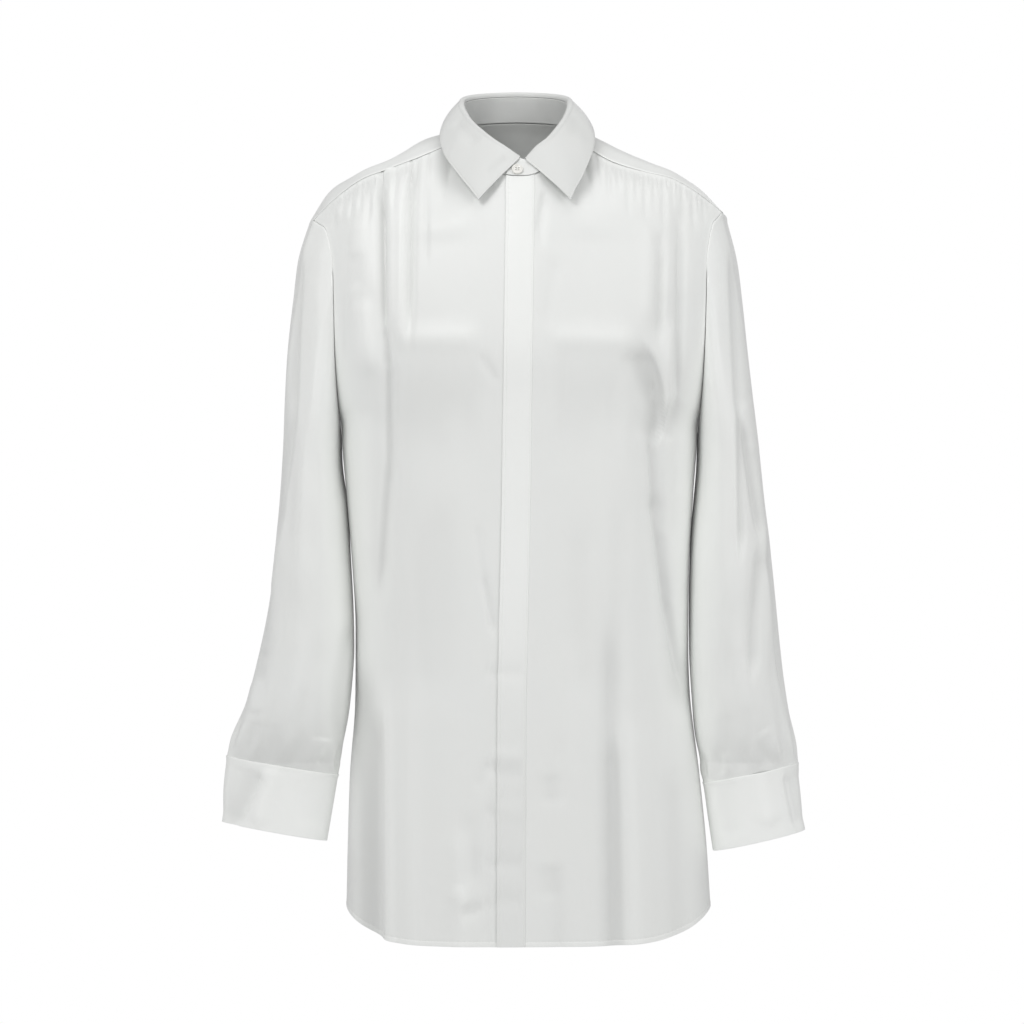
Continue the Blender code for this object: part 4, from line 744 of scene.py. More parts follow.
@cache
def front_top(sign):
    """Top edge of one front: half the neck seam, then the yoke seam out to the armhole."""
    mirror = np.array([sign, 1, 1])
    rows = points_of(NECK_FRONT, "x", "y", "z")
    neck = along(np.arange(len(rows)), rows, np.linspace(0, len(rows) - 1, NECK_SAMPLES)) * mirror
    neck[:, 0] += (centre_x(rows[0, 2]) - neck[0, 0]) * np.linspace(1, 0, NECK_SAMPLES) ** 2
    seam = yoke_points(yoke_column(sign, 0), np.linspace(0, 1, SEAM_SAMPLES))
    return neck, seam


def section_lines(rows, sign, middles):
    """Lines of half a panel, one through each section. middles gives the x of their starts."""
    end = "l" if sign < 0 else "r"
    names = ("yc", "zc", "x" + end, "y" + end, "z" + end, "turn", "power", "rise")
    return [section((middle, yc, zc), (x, y, z), turn, power, rise)
            for middle, yc, zc, x, y, z, turn, power, rise in zip(middles, *(rows[name] for name in names))]


@cache
def front_guides(sign):
    """Guide lines of one front, top edge first. The second rounds the cloth over the shoulder.

    It is the mean of its neighbours, moved out by SHOULDER_ROUND * sin(pi * share)^SHOULDER_POWER.
    """
    neck, seam = front_top(sign)
    top = evenly(np.vstack([neck, seam[1:]]), GUIDE_SAMPLES)
    lines = section_lines(FRONT, sign, centre_x(FRONT["zc"]))
    corner = lengths_along(neck)[-1] / lengths_along(top)[-1]
    places = np.linspace(0, 1, GUIDE_SAMPLES)
    swell = np.sin(math.pi * np.clip((places - corner) / (1 - corner), 0, 1)) ** SHOULDER_POWER
    rounded = (top + lines[0]) / 2 + swell[:, None] * np.array([0, -SHOULDER_ROUND, SHOULDER_ROUND])
    return np.array([top, rounded] + lines)


@cache
def back_guides(sign):
    """Guide lines of one half of the back, from the centre back to the side."""
    columns = np.linspace(YOKE_CENTRE, yoke_column(sign, YOKE_CORNER), SEAM_SAMPLES)
    top = evenly(yoke_points(columns, 1.0), GUIDE_SAMPLES)
    return np.array([top] + section_lines(BACK, sign, 0 * BACK["zc"]))


class Panel:
    """A body panel: guide lines of both halves and the drops down from the top edge that they lie at."""

    def __init__(self, left, right, drops):
        self.guides = {-1: left, 1: right}
        self.drops = np.concatenate([np.linspace(0, drops[0], len(left) - len(drops) + 1), drops[1:]])
        self.lengths = {side: np.array([lengths_along(line)[-1] for line in lines])
                        for side, lines in self.guides.items()}

    def shares(self, label, drop):
        """Turn labels into shares of the half line. Near the centre a label is a distance in millimetres."""
        near = np.minimum(np.abs(label), PLACKET_HALF)
        beyond = np.maximum(np.abs(label) - PLACKET_HALF, 0) / SIDE_SCALE
        length = np.where(label < 0, np.interp(drop, self.drops, self.lengths[-1]),
                          np.interp(drop, self.drops, self.lengths[1]))
        share = near / length
        return share + (1 - PLACKET_HALF / length) * beyond

    def base(self, label, drop):
        """Points of the plain panel at labels across and drops down."""
        label, drop = np.broadcast_arrays(np.asarray(label, float), np.asarray(drop, float))
        flat_label, flat_drop = label.ravel(), drop.ravel()
        share = self.shares(flat_label, flat_drop)
        result = np.empty((flat_label.size, 3))
        places = np.linspace(0, 1, GUIDE_SAMPLES)
        for side, guides in self.guides.items():
            chosen = (flat_label < 0) if side < 0 else (flat_label >= 0)
            lines = np.stack([at_shares(line, places, share[chosen]) for line in guides])
            result[chosen] = along(self.drops, lines, flat_drop[chosen])
        return result.reshape(label.shape + (3,))

    def points(self, label, drop, relief):
        """Points of the folded panel: the plain one moved along its normal by the relief."""
        plain = self.base(label, drop)
        above, below = np.maximum(drop - NORMAL_STEP, 0), np.minimum(drop + NORMAL_STEP, self.drops[-1])
        across = self.base(label + NORMAL_STEP, drop) - self.base(label - NORMAL_STEP, drop)
        down = self.base(label, below) - self.base(label, above)
        normal = turned_to(unit(np.cross(across, down)), from_axis(plain))
        still = ease((SIDE_LABEL - np.abs(label)) / SEAM_CALM)
        return plain + normal * (still * relief(plain))[..., None]


def fold_relief(points, folds):
    """Sum of soft ridges and troughs: each is depth * exp(-(distance / width)^2), eased in at its ends.

    In a table with a lean, a line that runs down has its width at its left as the viewer sees it, and
    width * lean at its right. These pleats also narrow to their ends.
    """
    total = np.zeros(points.shape[:-1])
    leans = folds.get("lean", np.ones(len(folds["x0"])))
    names = ("x0", "z0", "x1", "z1", "bow", "width", "depth")
    for x0, z0, x1, z1, bow, width, depth, lean in zip(*(folds[name] for name in names), leans):
        run = np.array([x1 - x0, z1 - z0])
        length = np.linalg.norm(run)
        run = run / length
        offset = np.stack([points[..., 0] - x0, points[..., 2] - z0], axis=-1)
        t = (offset @ run) / length
        aside = offset @ np.array([run[1], -run[0]]) - bow * 4 * t * (1 - t)
        fade = ease(t / FOLD_FADE_IN) * (1.0 if z1 < HEM_FOLD else ease((1 - t) / FOLD_FADE_OUT))
        narrowing = PLEAT_END + (1 - PLEAT_END) * fade if "lean" in folds else 1.0
        total += depth * fade * bell(aside, np.where(aside > 0, width, width * lean) * narrowing)
    return total


def gather_relief(points, gathers, seam):
    """Short troughs hanging from a seam, which fade in just below it and out along their length."""
    total = np.zeros(points.shape[:-1])
    top = np.interp(points[..., 0], seam[:, 0], seam[:, 2])
    below = top - points[..., 2]
    for x, length, width, depth in zip(*gathers.values()):
        fade = ease(below / GATHER_FADE_IN) * ease((length - below) / (GATHER_FADE_OUT * length))
        total += depth * fade * bell(points[..., 0] - x, width)
    return total


def from_axis(points):
    """Direction away from the body's upright axis."""
    return points * LEVEL


def sleeve_section(sign, z, angle):
    """Point of the level oval at a height: outer at 0 degrees, front at 90.

    x is the middle plus the half width times cos(angle), and y the middle minus the depth times sin(angle).
    """
    rows = SLEEVE[sign]
    read = {name: along(rows["z"], rows[name], z) for name in ("out", "inside", "depth", "middle")}
    middle = (read["out"] + read["inside"]) / 2
    half = (read["out"] - read["inside"]) / 2
    turn = np.radians(angle)
    return np.stack([middle + half * np.cos(turn), read["middle"] - read["depth"] * np.sin(turn), z], axis=-1)


def cuff_ring(sign, share, angle, outward=0.0):
    """Point of the cuff's outer face: share 0 at its top, 1 at its bottom.

    An oval as the sleeve's, tilted: its height too goes with cos(angle), between the outer and the inner one.
    """
    rows = CUFF[sign]
    read = {name: along(CUFF_SHARES, rows[name], share) for name in rows}
    turn = np.radians(angle)
    half = (read["out"] - read["inside"]) / 2
    return np.stack([
        (read["out"] + read["inside"]) / 2 + (half + sign * outward) * np.cos(turn),
        read["middle"] - (read["depth"] + outward) * np.sin(turn),
        (read["z_out"] + read["z_inside"]) / 2 + (read["z_out"] - read["z_inside"]) / 2 * np.cos(turn),
    ], axis=-1)


def sleeve_points(sign, angle, share, loop, loop_angles):
    """Sleeve surface: level ovals, eased at the top to the armhole and at the bottom to the cuff."""
    wrapped = np.vstack([loop, loop[:1]])
    places = np.append(loop_angles, 360.0)
    start = at_shares(wrapped, places, angle)
    end = cuff_ring(sign, np.zeros_like(angle), angle)
    z = start[..., 2] + (end[..., 2] - start[..., 2]) * share
    top = start - sleeve_section(sign, start[..., 2], angle)
    bottom = end - sleeve_section(sign, end[..., 2], angle)
    top_weight = (1 - ease(share / ARMHOLE_BLEND))[..., None]
    bottom_weight = (np.clip(1 - (1 - share) / CUFF_BLEND, 0, 1) ** CUFF_BLEND_POWER)[..., None]
    return sleeve_section(sign, z, angle) + top * top_weight + bottom * bottom_weight


def sleeve_relief(sign, angle, share):
    """Long folds by angle and share, and even gathers where the sleeve goes into the cuff."""
    total = np.zeros(angle.shape)
    for angle0, share0, angle1, share1, width, depth in zip(*SLEEVE_FOLDS.values()):
        t = (share - share0) / (share1 - share0)
        line = angle0 + (angle1 - angle0) * np.clip(t, 0, 1)
        fade = ease(t / SLEEVE_FOLD_FADE) * ease((1 - t) / SLEEVE_FOLD_FADE)
        total += depth * fade * bell(angle - line, width)
    gather = ease((share - CUFF_GATHER_START) / CUFF_GATHER_IN) * ease((1.0 - share) / CUFF_GATHER_OUT)
    ripples = np.cos(np.radians(CUFF_GATHERS * angle + CUFF_GATHER_SHIFT * sign))
    return total + gather * CUFF_GATHER_DEPTH * ripples


def cuff_step(turns):
    """How far the cuff moves out before its end laps over the other."""
    return (CUFF_WALL + SEAM_GAP) * ease((turns - 2 * math.pi + CUFF_STEP_START) / CUFF_STEP_RUN)


def collar_lines():
    """Fold line and outer edge of the leaf, from its end at minus x round the back to its end at plus x."""
    left, right = COLLAR[-1], COLLAR[1]
    lines = []
    for x, y, z in (("fold_x", "fold_y", "fold_z"), ("edge_x", "edge_y", "edge_z")):
        lines.append(np.vstack([points_of(left, x, y, z), points_of(right, x, y, z)[-2::-1]]))
    lines[0][[0, -1]] = LEAF_FRONT_ENDS
    return lines


def loop_outward(points):
    """Level direction away from the neck, square to a line of points round it."""
    way = np.gradient(points, axis=0)
    side = unit(np.stack([way[:, 1], -way[:, 0], 0 * way[:, 0]], axis=-1))
    return turned_to(side, points - NECK_CENTRE)


@cache
def neck_loop(sign):
    """Half of the neck seam, from the centre front to the centre back."""
    neck, _ = front_top(sign)
    back = yoke_points(np.linspace(yoke_column(sign, 0), YOKE_CENTRE, SEAM_SAMPLES), 0.0)
    return evenly(np.vstack([neck, back[1:]]), RING_SAMPLES)


@cache
def stand_top(sign):
    """Half of the stand's top edge, beneath the leaf's roll."""
    rows = COLLAR[sign]
    points = points_of(rows, "fold_x", "fold_y", "fold_z")
    fold = along(np.arange(len(points)), points, np.linspace(0, len(points) - 1, SEAM_SAMPLES))
    below = (COLLAR_ROLL + STAND_BELOW_ROLL) * UP
    top = fold - loop_outward(fold) * (COLLAR_ROLL - STAND_WALL) - below
    return evenly(np.vstack([STAND_TOP_FRONT, top]), RING_SAMPLES)


def stand_points(turn, height, outward):
    """Stand surface: turn 0 at the centre front, 1 at the centre back, 2 at the centre front again.

    A point goes straight from the neck seam to the stand's top edge by its height, and level outward.
    """
    wrapped = np.mod(turn, 2.0)
    shares = np.linspace(0, 1, RING_SAMPLES)
    result = np.zeros(turn.shape + (3,))
    for sign in (-1, 1):
        chosen = (wrapped <= 1) if sign < 0 else (wrapped > 1)
        at = wrapped if sign < 0 else 2 - wrapped
        bottom = at_shares(neck_loop(sign), shares, at)
        top = at_shares(stand_top(sign), shares, at)
        point = bottom + STAND_LIFT * UP * (1 - height[..., None]) + (top - bottom) * height[..., None]
        result[chosen] = point[chosen]
    radial = unit((result - NECK_CENTRE) * LEVEL)
    return result + radial * outward[..., None]


def stand_step(turns):
    """How far the stand moves out before its end laps over the other."""
    return (STAND_WALL + LAP_GAP) * ease((turns - STAND_STEP_TURN) / STAND_STEP_RUN)


def stand_surface(turn, height):
    """Point of the lapped stand at a turn and height."""
    turn = np.array([turn])
    return stand_points(turn, np.array([height]), stand_step(turn))[0]


def cuff_surface(sign, turn, share):
    """Point of the lapped cuff at a turn and share of its depth."""
    turn = np.array([turn])
    return cuff_ring(sign, np.array([share]), np.degrees(CUFF_LAP_START + turn), cuff_step(turn))[0]


def on_surface(surface, across, along_way, away_from):
    """Place and outward direction on a surface of two parameters, and its direction of growing height."""
    place = surface(across, along_way)
    side = surface(across + SURFACE_STEP, along_way) - place
    up = surface(across, along_way + SURFACE_STEP) - place
    return place, turned_to(unit(np.cross(side, up)), (place - away_from) * LEVEL), up


def stand_turn(beyond):
    """Turn on the stand's lapped end at a distance beyond the centre front."""
    return 2 + beyond / lengths_along(neck_loop(-1))[-1]


def cuff_middle(surface):
    """Middle of a cuff, as the mean of points round it half way down."""
    turns = np.linspace(0, 2 * math.pi, CUFF_MIDDLE_POINTS, endpoint=False)
    return np.mean([surface(turn, CUFF_BUTTON_SHARE) for turn in turns], axis=0)


def button_seats():
    """Where the buttons lie: on the stand's lapped end, and half way down each cuff's lapped end."""
    seats = {"button_collar": on_surface(stand_surface, stand_turn(BUTTON_FROM_CENTRE), BUTTON_STAND_SHARE,
                                         NECK_CENTRE)}
    for sign, name in ((-1, "button_cuff_right"), (1, "button_cuff_left")):
        surface = partial(cuff_surface, sign)
        seats[name] = on_surface(surface, CUFF_BUTTON_SEAT, CUFF_BUTTON_SHARE, cuff_middle(surface))
    return seats


@cache
def body_panels():
    """The front and back panels as smooth surfaces of label and drop."""
    front = Panel(front_guides(-1), front_guides(1), FRONT["drop"])
    back = Panel(back_guides(-1), back_guides(1), BACK["drop"])
    return front, back


# Distances in from an edge at which its grid lines lie, by its kind. One below 0 lies beyond the seam.
EDGE_LINES = {
    "lap": (-LAP_LENGTH, 0.15 - LAP_LENGTH, 0.35 - LAP_LENGTH, 0, 0.5, 1.0, 1.8),
    "seam": (0, 0.12, 0.3, 0.6, 1.0, 1.8),
    "tuck": (-TUCK_LENGTH, -0.5 * TUCK_LENGTH, 0, 0.12, 0.35, 0.7, 1.1, 1.8),
    "fold": (0, 0.06, 0.2, 0.45, 0.9),
    "hem": (0, 0.06, 0.2, 0.45, 0.9),
}
# The widest step between them and a stitch line, and how near it and how far beyond it the next ones lie
EDGE_STEP, STITCH_NEAR, STITCH_BEYOND = 0.9, 0.45, 1.1
# How far the last of them stays from the grid's own next row
ROW_APART = 0.3


class Cut:
    """One cloth piece as a grid of points: rows go down or outward, columns go round.

    Each edge has a kind: seam (rolled in to its neighbour), tuck (rolled in and on beneath its neighbour),
    lap (on over a neighbour's tuck), fold (a finished edge) or hem, and the distance of its stitch line or 0.
    outward gives the direction of the piece's right side, and folds the depth of its folds at given points.
    """

    def __init__(self, points, edges, ply, outward, folds=None, closed=False):
        self.points, self.edges, self.ply = points, edges, ply
        self.outward, self.folds, self.closed = outward, folds, closed


def edge_distances(kind, stitch):
    """Distances from an edge at which the grid has lines, so that rolls and stitch grooves are round."""
    lines = list(EDGE_LINES[kind])
    if stitch:
        first, last = max(lines[-1], EDGE_STEP), stitch - STITCH_NEAR
        between = np.linspace(first, last, max(2, int((last - first) / EDGE_STEP) + 1))[1:]
        lines += [*between, stitch, stitch + STITCH_NEAR, stitch + STITCH_BEYOND]
    return lines


def with_edge_lines(points, distances):
    """Replace the rows nearest the first by rows at given distances from it, measured along each column."""
    far = lengths_along(points)
    each = np.arange(points.shape[1])
    rows = []
    for distance in distances:
        i = np.clip((far <= distance).sum(axis=0) - 1, 0, len(points) - 2)
        t = (distance - far[i, each]) / np.maximum(far[i + 1, each] - far[i, each], TINY)
        rows.append(points[i, each] + (points[i + 1, each] - points[i, each]) * t[:, None])
    keep = int(np.argmax(far.min(axis=1) > distances[-1] + ROW_APART))
    return np.concatenate([np.array(rows), points[keep:]])


def grid_normals(points, outward, closed):
    """Normals of a grid: the cross product of its two directions, turned to the side that outward gives."""
    ring = np.concatenate([points[:, -1:], points, points[:, :1]], axis=1) if closed else points
    across = np.gradient(ring, axis=1)
    down = np.gradient(ring, axis=0)
    normals = unit(np.cross(across, down))
    normals = normals[:, 1:-1] if closed else normals
    return -normals if np.sum(normals * outward(points)) < 0 else normals


def edge_view(grid, edge):
    """The grid seen with the named edge as its first row."""
    if edge in ("start", "end"):
        grid = np.swapaxes(grid, 0, 1)
    return grid[::-1] if edge in ("bottom", "end") else grid


def edge_back(grid, edge):
    """Undo edge_view."""
    grid = grid[::-1] if edge in ("bottom", "end") else grid
    return np.swapaxes(grid, 0, 1) if edge in ("start", "end") else grid


def soft_waves(points, size, seed):
    """Slow uneven waves in the cloth: a sum of sines over x, y and z with fixed directions and phases."""
    draw = np.random.default_rng(seed)
    total = np.zeros(points.shape[:-1])
    for _ in range(WAVE_COUNT):
        way = draw.normal(size=3) * WAVE_STRETCH
        total += np.sin(points @ (way / size) + draw.uniform(0, 2 * math.pi)) * draw.uniform(0.4, 1.0)
    return total / WAVE_DIVISOR


def upward(points):
    """Direction up, for pieces whose right side looks up."""
    return points * 0 + UP


def from_ring(points):
    """Direction away from the middle of each row of a tube."""
    return (points - points.mean(axis=1, keepdims=True)) * LEVEL


def two_sided(points, front, back):
    """Creases of a tube's front and back halves, blended at the sides. Each half has a list of tables."""
    depth = points[..., 1]
    front_share = ease(0.5 + (depth.mean(axis=1, keepdims=True) - depth) / (2 * SIDE_BLEND))
    return sum(share * fold_relief(points, folds)
               for share, tables in ((front_share, front), (1 - front_share, back)) for folds in tables)


def front_relief(plain):
    """Folds, creases and gathers of the two fronts, with slow waves between them."""
    seams = np.vstack([front_top(-1)[1][::-1], front_top(1)[1]])
    folds = sum(fold_relief(plain, folds) for folds in (FRONT_FOLDS, FRONT_CREASES, FRONT_PLEATS))
    gathers = gather_relief(plain, GATHERS_FRONT, seams) + gather_relief(plain, GATHERS_FINE, seams)
    return folds + FRONT_GATHER_SHARE * gathers + DRAPE_WAVE * soft_waves(plain, DRAPE_SIZE, seed=3)


def back_relief(plain):
    """Folds, creases and gathers of the back, with slow waves between them."""
    columns = np.linspace(YOKE_CORNER, YOKE_LAST - YOKE_CORNER, 2 * SEAM_SAMPLES)
    seam = evenly(yoke_points(columns, 1.0), SEAM_SAMPLES)
    folds = fold_relief(plain, BACK_FOLDS) + fold_relief(plain, BACK_CREASES)
    waves = DRAPE_WAVE * soft_waves(plain, DRAPE_SIZE, seed=5)
    return folds + gather_relief(plain, GATHERS_BACK, seam) + waves


def panel_drops(first, rows):
    """Drops of a body panel's rows: fine ones beneath the top edge and then rows more down to the hem."""
    return np.concatenate([np.linspace(first, TOP_DROP, TOP_ROWS), np.linspace(TOP_DROP, HEM_DROP, rows)[1:]])


@cache
def front_grid(name):
    """Points of one front, or of the strip of both that lies beneath the placket."""
    side = np.linspace(PLACKET_HALF, SIDE_LABEL - SIDE_INSET, FRONT_COLUMNS)
    under = np.linspace(-PLACKET_HALF, UNDERLAP_EDGE, UNDERLAP_COLUMNS)
    over = np.linspace(UNDERLAP_EDGE + UNDERLAP_GAP, PLACKET_HALF, OVERLAP_COLUMNS)
    labels = {
        "front_right": np.concatenate([-side[::-1], under[1:]]),
        "front_left": np.concatenate([over[:-1], side]),
        "placket": np.linspace(-PLACKET_HALF, PLACKET_HALF, PLACKET_COLUMNS),
    }[name]
    first = PLACKET_FIRST_DROP if name == "placket" else FIRST_DROP
    label, drop = np.meshgrid(labels, panel_drops(first, FRONT_ROWS))
    return body_panels()[0].points(label, drop, front_relief)


def cut_front(name):
    """A front: neck and yoke seam above, hem below, placket side and side seam."""
    sides = {"front_right": {"start": ("lap", 0), "end": ("fold", 0)},
             "front_left": {"start": ("fold", 0), "end": ("lap", 0)}}[name]
    edges = {"top": ("tuck", 0), "bottom": ("hem", HEM_STITCH), **sides}
    return Cut(front_grid(name), edges, None, from_axis, front_relief)


def cut_placket():
    """The placket band: the fronts' own points moved out, from just below the collar stand to the hem."""
    points = front_grid("placket")
    free = edge_distance(points, "start")
    lower = ease((-points[..., 2] - PLACKET_LIFT_TOP) / PLACKET_LIFT_TOP)
    lift = PLACKET_LIFT * lower * ease(1 - free / PLACKET_LIFT_REACH)
    sink = PLACKET_SINK * ease(1 - edge_distance(points, "end") / EDGE_STITCH)
    points = points + (PLACKET_RISE + lift - sink)[..., None] * grid_normals(points, from_axis, False)
    edges = {"top": ("fold", 0), "bottom": ("fold", 0), "start": ("fold", PLACKET_STITCH),
             "end": ("fold", EDGE_STITCH)}
    return Cut(points, edges, PLACKET_PLY, from_axis, front_relief)


def cut_back():
    """The back, hanging from the yoke."""
    labels = np.linspace(-SIDE_LABEL, SIDE_LABEL, BACK_COLUMNS)
    label, drop = np.meshgrid(labels, panel_drops(FIRST_DROP, BACK_ROWS))
    points = body_panels()[1].points(label, drop, back_relief)
    edges = {"top": ("tuck", 0), "bottom": ("hem", HEM_STITCH), "start": ("seam", 0), "end": ("seam", 0)}
    return Cut(points, edges, None, from_axis, back_relief)


def cut_yoke():
    """The yoke, one piece over both shoulders and the upper back."""
    column, share = np.meshgrid(np.linspace(0, YOKE_LAST, YOKE_MESH_COLUMNS), np.linspace(0, 1, YOKE_ROWS))
    points = yoke_points(column, share)
    calm = (ease(share / YOKE_CALM[0]) * ease((1 - share) / YOKE_CALM[0])
            * ease(column / YOKE_CALM[1]) * ease((YOKE_LAST - column) / YOKE_CALM[1]))
    normals = grid_normals(points, upward, False)
    points = points + normals * (calm * YOKE_WAVE * soft_waves(points, YOKE_SIZE, seed=11))[..., None]
    edges = {"top": ("seam", 0), "bottom": ("lap", 0), "start": ("lap", 0), "end": ("lap", 0)}
    return Cut(points, edges, None, upward)


def armhole(sign):
    """Loop round one armhole from the shoulder forward: its points and their angle places, 0 to 360."""
    front, back = body_panels()
    first, last = yoke_column(sign, 0), yoke_column(sign, YOKE_CORNER)
    edge = yoke_points(np.linspace(first, last, 2 * ARMHOLE_SAMPLES + 1), 1.0)
    side = sign * SIDE_LABEL
    drops = np.linspace(0, UNDERARM_DROP, 2 * ARMHOLE_SAMPLES)
    forward = np.vstack([edge[:ARMHOLE_SAMPLES + 1][::-1], front.base(side, drops[1:])])
    backward = np.vstack([back.base(side, drops[1:-1][::-1]), edge[ARMHOLE_SAMPLES:][::-1]])
    down = lengths_along(forward)
    up = lengths_along(np.vstack([forward[-1:], backward]))
    angles = np.concatenate([180 * down / down[-1], 180 + 180 * up[1:-1] / up[-1]])
    return np.vstack([forward, backward[:-1]]), angles


def cut_sleeve(sign):
    """One sleeve, from the armhole to the top of its cuff, folded and gathered."""
    loop, loop_angles = armhole(sign)
    shares = np.concatenate([np.linspace(0, SLEEVE_FINE_FROM, SLEEVE_ROWS),
                             np.linspace(SLEEVE_FINE_FROM, 1, SLEEVE_FINE_ROWS)[1:]])
    turn = np.linspace(0, 2 * math.pi, SLEEVE_COLUMNS, endpoint=False)
    angle, share = np.meshgrid(np.degrees(turn - SLEEVE_FRONT_DENSER * (1 - np.cos(turn))), shares)
    points = sleeve_points(sign, angle, share, loop, loop_angles)
    calm = ease(share / SLEEVE_CALM[0]) * ease((1 - share) / SLEEVE_CALM[1])
    creases = partial(two_sided, front=(SLEEVE_CREASES[sign], SLEEVE_PLEATS[sign]),
                                back=(SLEEVE_BACK_CREASES[sign],))
    waves = SLEEVE_WAVE * soft_waves(points, SLEEVE_SIZE, seed=20 + sign)
    relief = sleeve_relief(sign, angle, share) + calm * (creases(points) + waves)
    points = points + unit(from_ring(points)) * relief[..., None]
    away = unit(unit(points[1] - points[0]) + np.array([sign, 0, 0]))
    points[0] = points[0] + ARMHOLE_GAP * away
    points[-1, :, 2] += SLEEVE_END_LIFT
    return Cut(points, {"top": ("tuck", 0), "bottom": ("tuck", 0)}, None, from_ring, creases, closed=True)


def cut_cuff(sign):
    """A wide cuff whose one end laps outside the other."""
    turns, share = np.meshgrid(np.linspace(0, 2 * math.pi + CUFF_LAP, CUFF_MESH_COLUMNS),
                               np.linspace(0, 1, CUFF_ROWS))
    points = cuff_ring(sign, share, np.degrees(CUFF_LAP_START + turns), cuff_step(turns))
    creases = partial(two_sided, front=(CUFF_CREASES[sign],), back=())
    relief = CUFF_LIP * bell(edge_distance(points, "top"), CUFF_LIP_REACH) + creases(points)
    points = points + unit(from_ring(points)) * relief[..., None]
    edges = {"top": ("lap", 0), "bottom": ("fold", 0), "start": ("fold", 0), "end": ("fold", 0)}
    return Cut(points, edges, CUFF_PLY, from_ring, creases)


def cut_stand():
    """The band round the neck. Its end at the viewer's right laps over the other at the centre front."""
    half = lengths_along(neck_loop(-1))[-1]
    lap = STAND_OVERLAP / half
    turns, height = np.meshgrid(np.linspace(-lap, 2 + lap, STAND_COLUMNS), np.linspace(0, 1, STAND_ROWS))
    end = np.minimum(turns + lap, 2 + lap - turns) * half
    rounded = 1 - STAND_END_FALL * (1 - np.clip(end / STAND_END_ROUND, 0, 1)) ** STAND_END_POWER
    points = stand_points(turns, height * rounded, stand_step(turns))
    edges = {"top": ("fold", 0), "bottom": ("lap", 0), "start": ("fold", 0), "end": ("fold", 0)}
    return Cut(points, edges, STAND_PLY, from_axis)


def cut_leaf():
    """The pointed leaf: up from the stand, over in a half round, and down to its outer edge.

    The roll is its centre + COLLAR_ROLL * (cos(turn) * outward + sin(turn) * up), and the fall goes straight
    to the outer edge, bulging by LEAF_BULGE * 4 * share * (1 - share).
    """
    fold, edge = collar_lines()
    last = len(fold) - 1
    near, far = LEAF_FRONT_STATIONS, last - LEAF_FRONT_STATIONS
    at = np.concatenate([np.linspace(0, near, LEAF_FRONT_COLUMNS),
                         np.linspace(near, far, LEAF_BACK_COLUMNS)[1:-1],
                         np.linspace(far, last, LEAF_FRONT_COLUMNS)])
    fold_line, edge_line = (along(np.arange(last + 1), line, at) for line in (fold, edge))
    out = loop_outward(fold_line)
    centre = fold_line - COLLAR_ROLL * UP
    turn = np.radians(np.linspace(*LEAF_ROLL_TURNS, LEAF_ROLL_ROWS))[:, None, None]
    roll = centre + COLLAR_ROLL * (np.cos(turn) * out + np.sin(turn) * UP)
    share = np.linspace(0, 1, LEAF_ROWS)[1:, None, None]
    fall = roll[-1] + (edge_line - roll[-1]) * share + out * (LEAF_BULGE * 4 * share * (1 - share))
    foot = (centre - COLLAR_ROLL * out - LEAF_FOOT * UP)[None]
    points = np.concatenate([foot, roll, fall])
    creases = partial(fold_relief, folds=LEAF_CREASES)
    points = points + grid_normals(points, upward, False) * creases(points)[..., None]
    edges = {"top": ("fold", 0), "bottom": ("fold", EDGE_STITCH), "start": ("fold", EDGE_STITCH),
             "end": ("fold", EDGE_STITCH)}
    return Cut(points, edges, LEAF_PLY, upward, creases)


CUTS = {
    "yoke": cut_yoke,
    "back": cut_back,
    "front_right": partial(cut_front, "front_right"),
    "front_left": partial(cut_front, "front_left"),
    "sleeve_right": partial(cut_sleeve, -1),
    "sleeve_left": partial(cut_sleeve, 1),
    "placket": cut_placket,
    "cuff_right": partial(cut_cuff, -1),
    "cuff_left": partial(cut_cuff, 1),
    "collar_stand": cut_stand,
    "collar_leaf": cut_leaf,
}
SEWN = ("seam", "tuck", "lap")
STITCH_SEED = 7
MITRED = ("yoke", "back", "front_right", "front_left", "sleeve_right", "sleeve_left")


@cache
def lined(name):
    """A cut with its edge lines in place, and its normals."""
    cut = CUTS[name]()
    for edge, (kind, stitch) in cut.edges.items():
        ready = with_edge_lines(edge_view(cut.points, edge), edge_distances(kind, stitch))
        cut.points = edge_back(ready, edge)
    return cut, grid_normals(cut.points, cut.outward, cut.closed)


def seam_rims(name):
    """Points and normals along every seam of a piece."""
    cut, normals = lined(name)
    seams = [(edge, EDGE_LINES[kind].index(0)) for edge, (kind, _) in cut.edges.items() if kind in SEWN]
    return [np.vstack([edge_view(grid, edge)[row] for edge, row in seams]) for grid in (cut.points, normals)]


def mitred_normals(name):
    """Normals of a piece, turned at each seam to the mean of both sides, so that the gap there stays even."""
    cut, normals = lined(name)
    if name not in MITRED:
        return normals
    normals = normals.copy()
    others = [seam_rims(other) for other in MITRED if other != name]
    points, ways = (np.vstack([rim[k] for rim in others]) for k in (0, 1))
    for edge, (kind, stitch) in cut.edges.items():
        if kind not in SEWN:
            continue
        seen, own = edge_view(cut.points, edge), edge_view(normals, edge)
        first = EDGE_LINES[kind].index(0)
        apart = np.linalg.norm(seen[first][:, None] - points[None], axis=-1)
        apart[own[first] @ ways.T < MITRE_SAME_SIDE] = np.inf
        nearest = np.argmin(apart, axis=1)
        found = apart[np.arange(len(nearest)), nearest] < MITRE_REACH
        mean = np.where(found[:, None], unit(own[first] + ways[nearest]), own[first])
        for row, distance in enumerate(edge_distances(kind, stitch)):
            share = min(max(distance, 0) / MITRE_FADE, 1.0)
            own[row] = unit(mean * (1 - share) + own[row] * share)
    return normals


def edge_distance(points, edge):
    """Distance of each grid point from an edge, measured along the grid line that leaves it."""
    return edge_back(lengths_along(edge_view(points, edge)), edge)


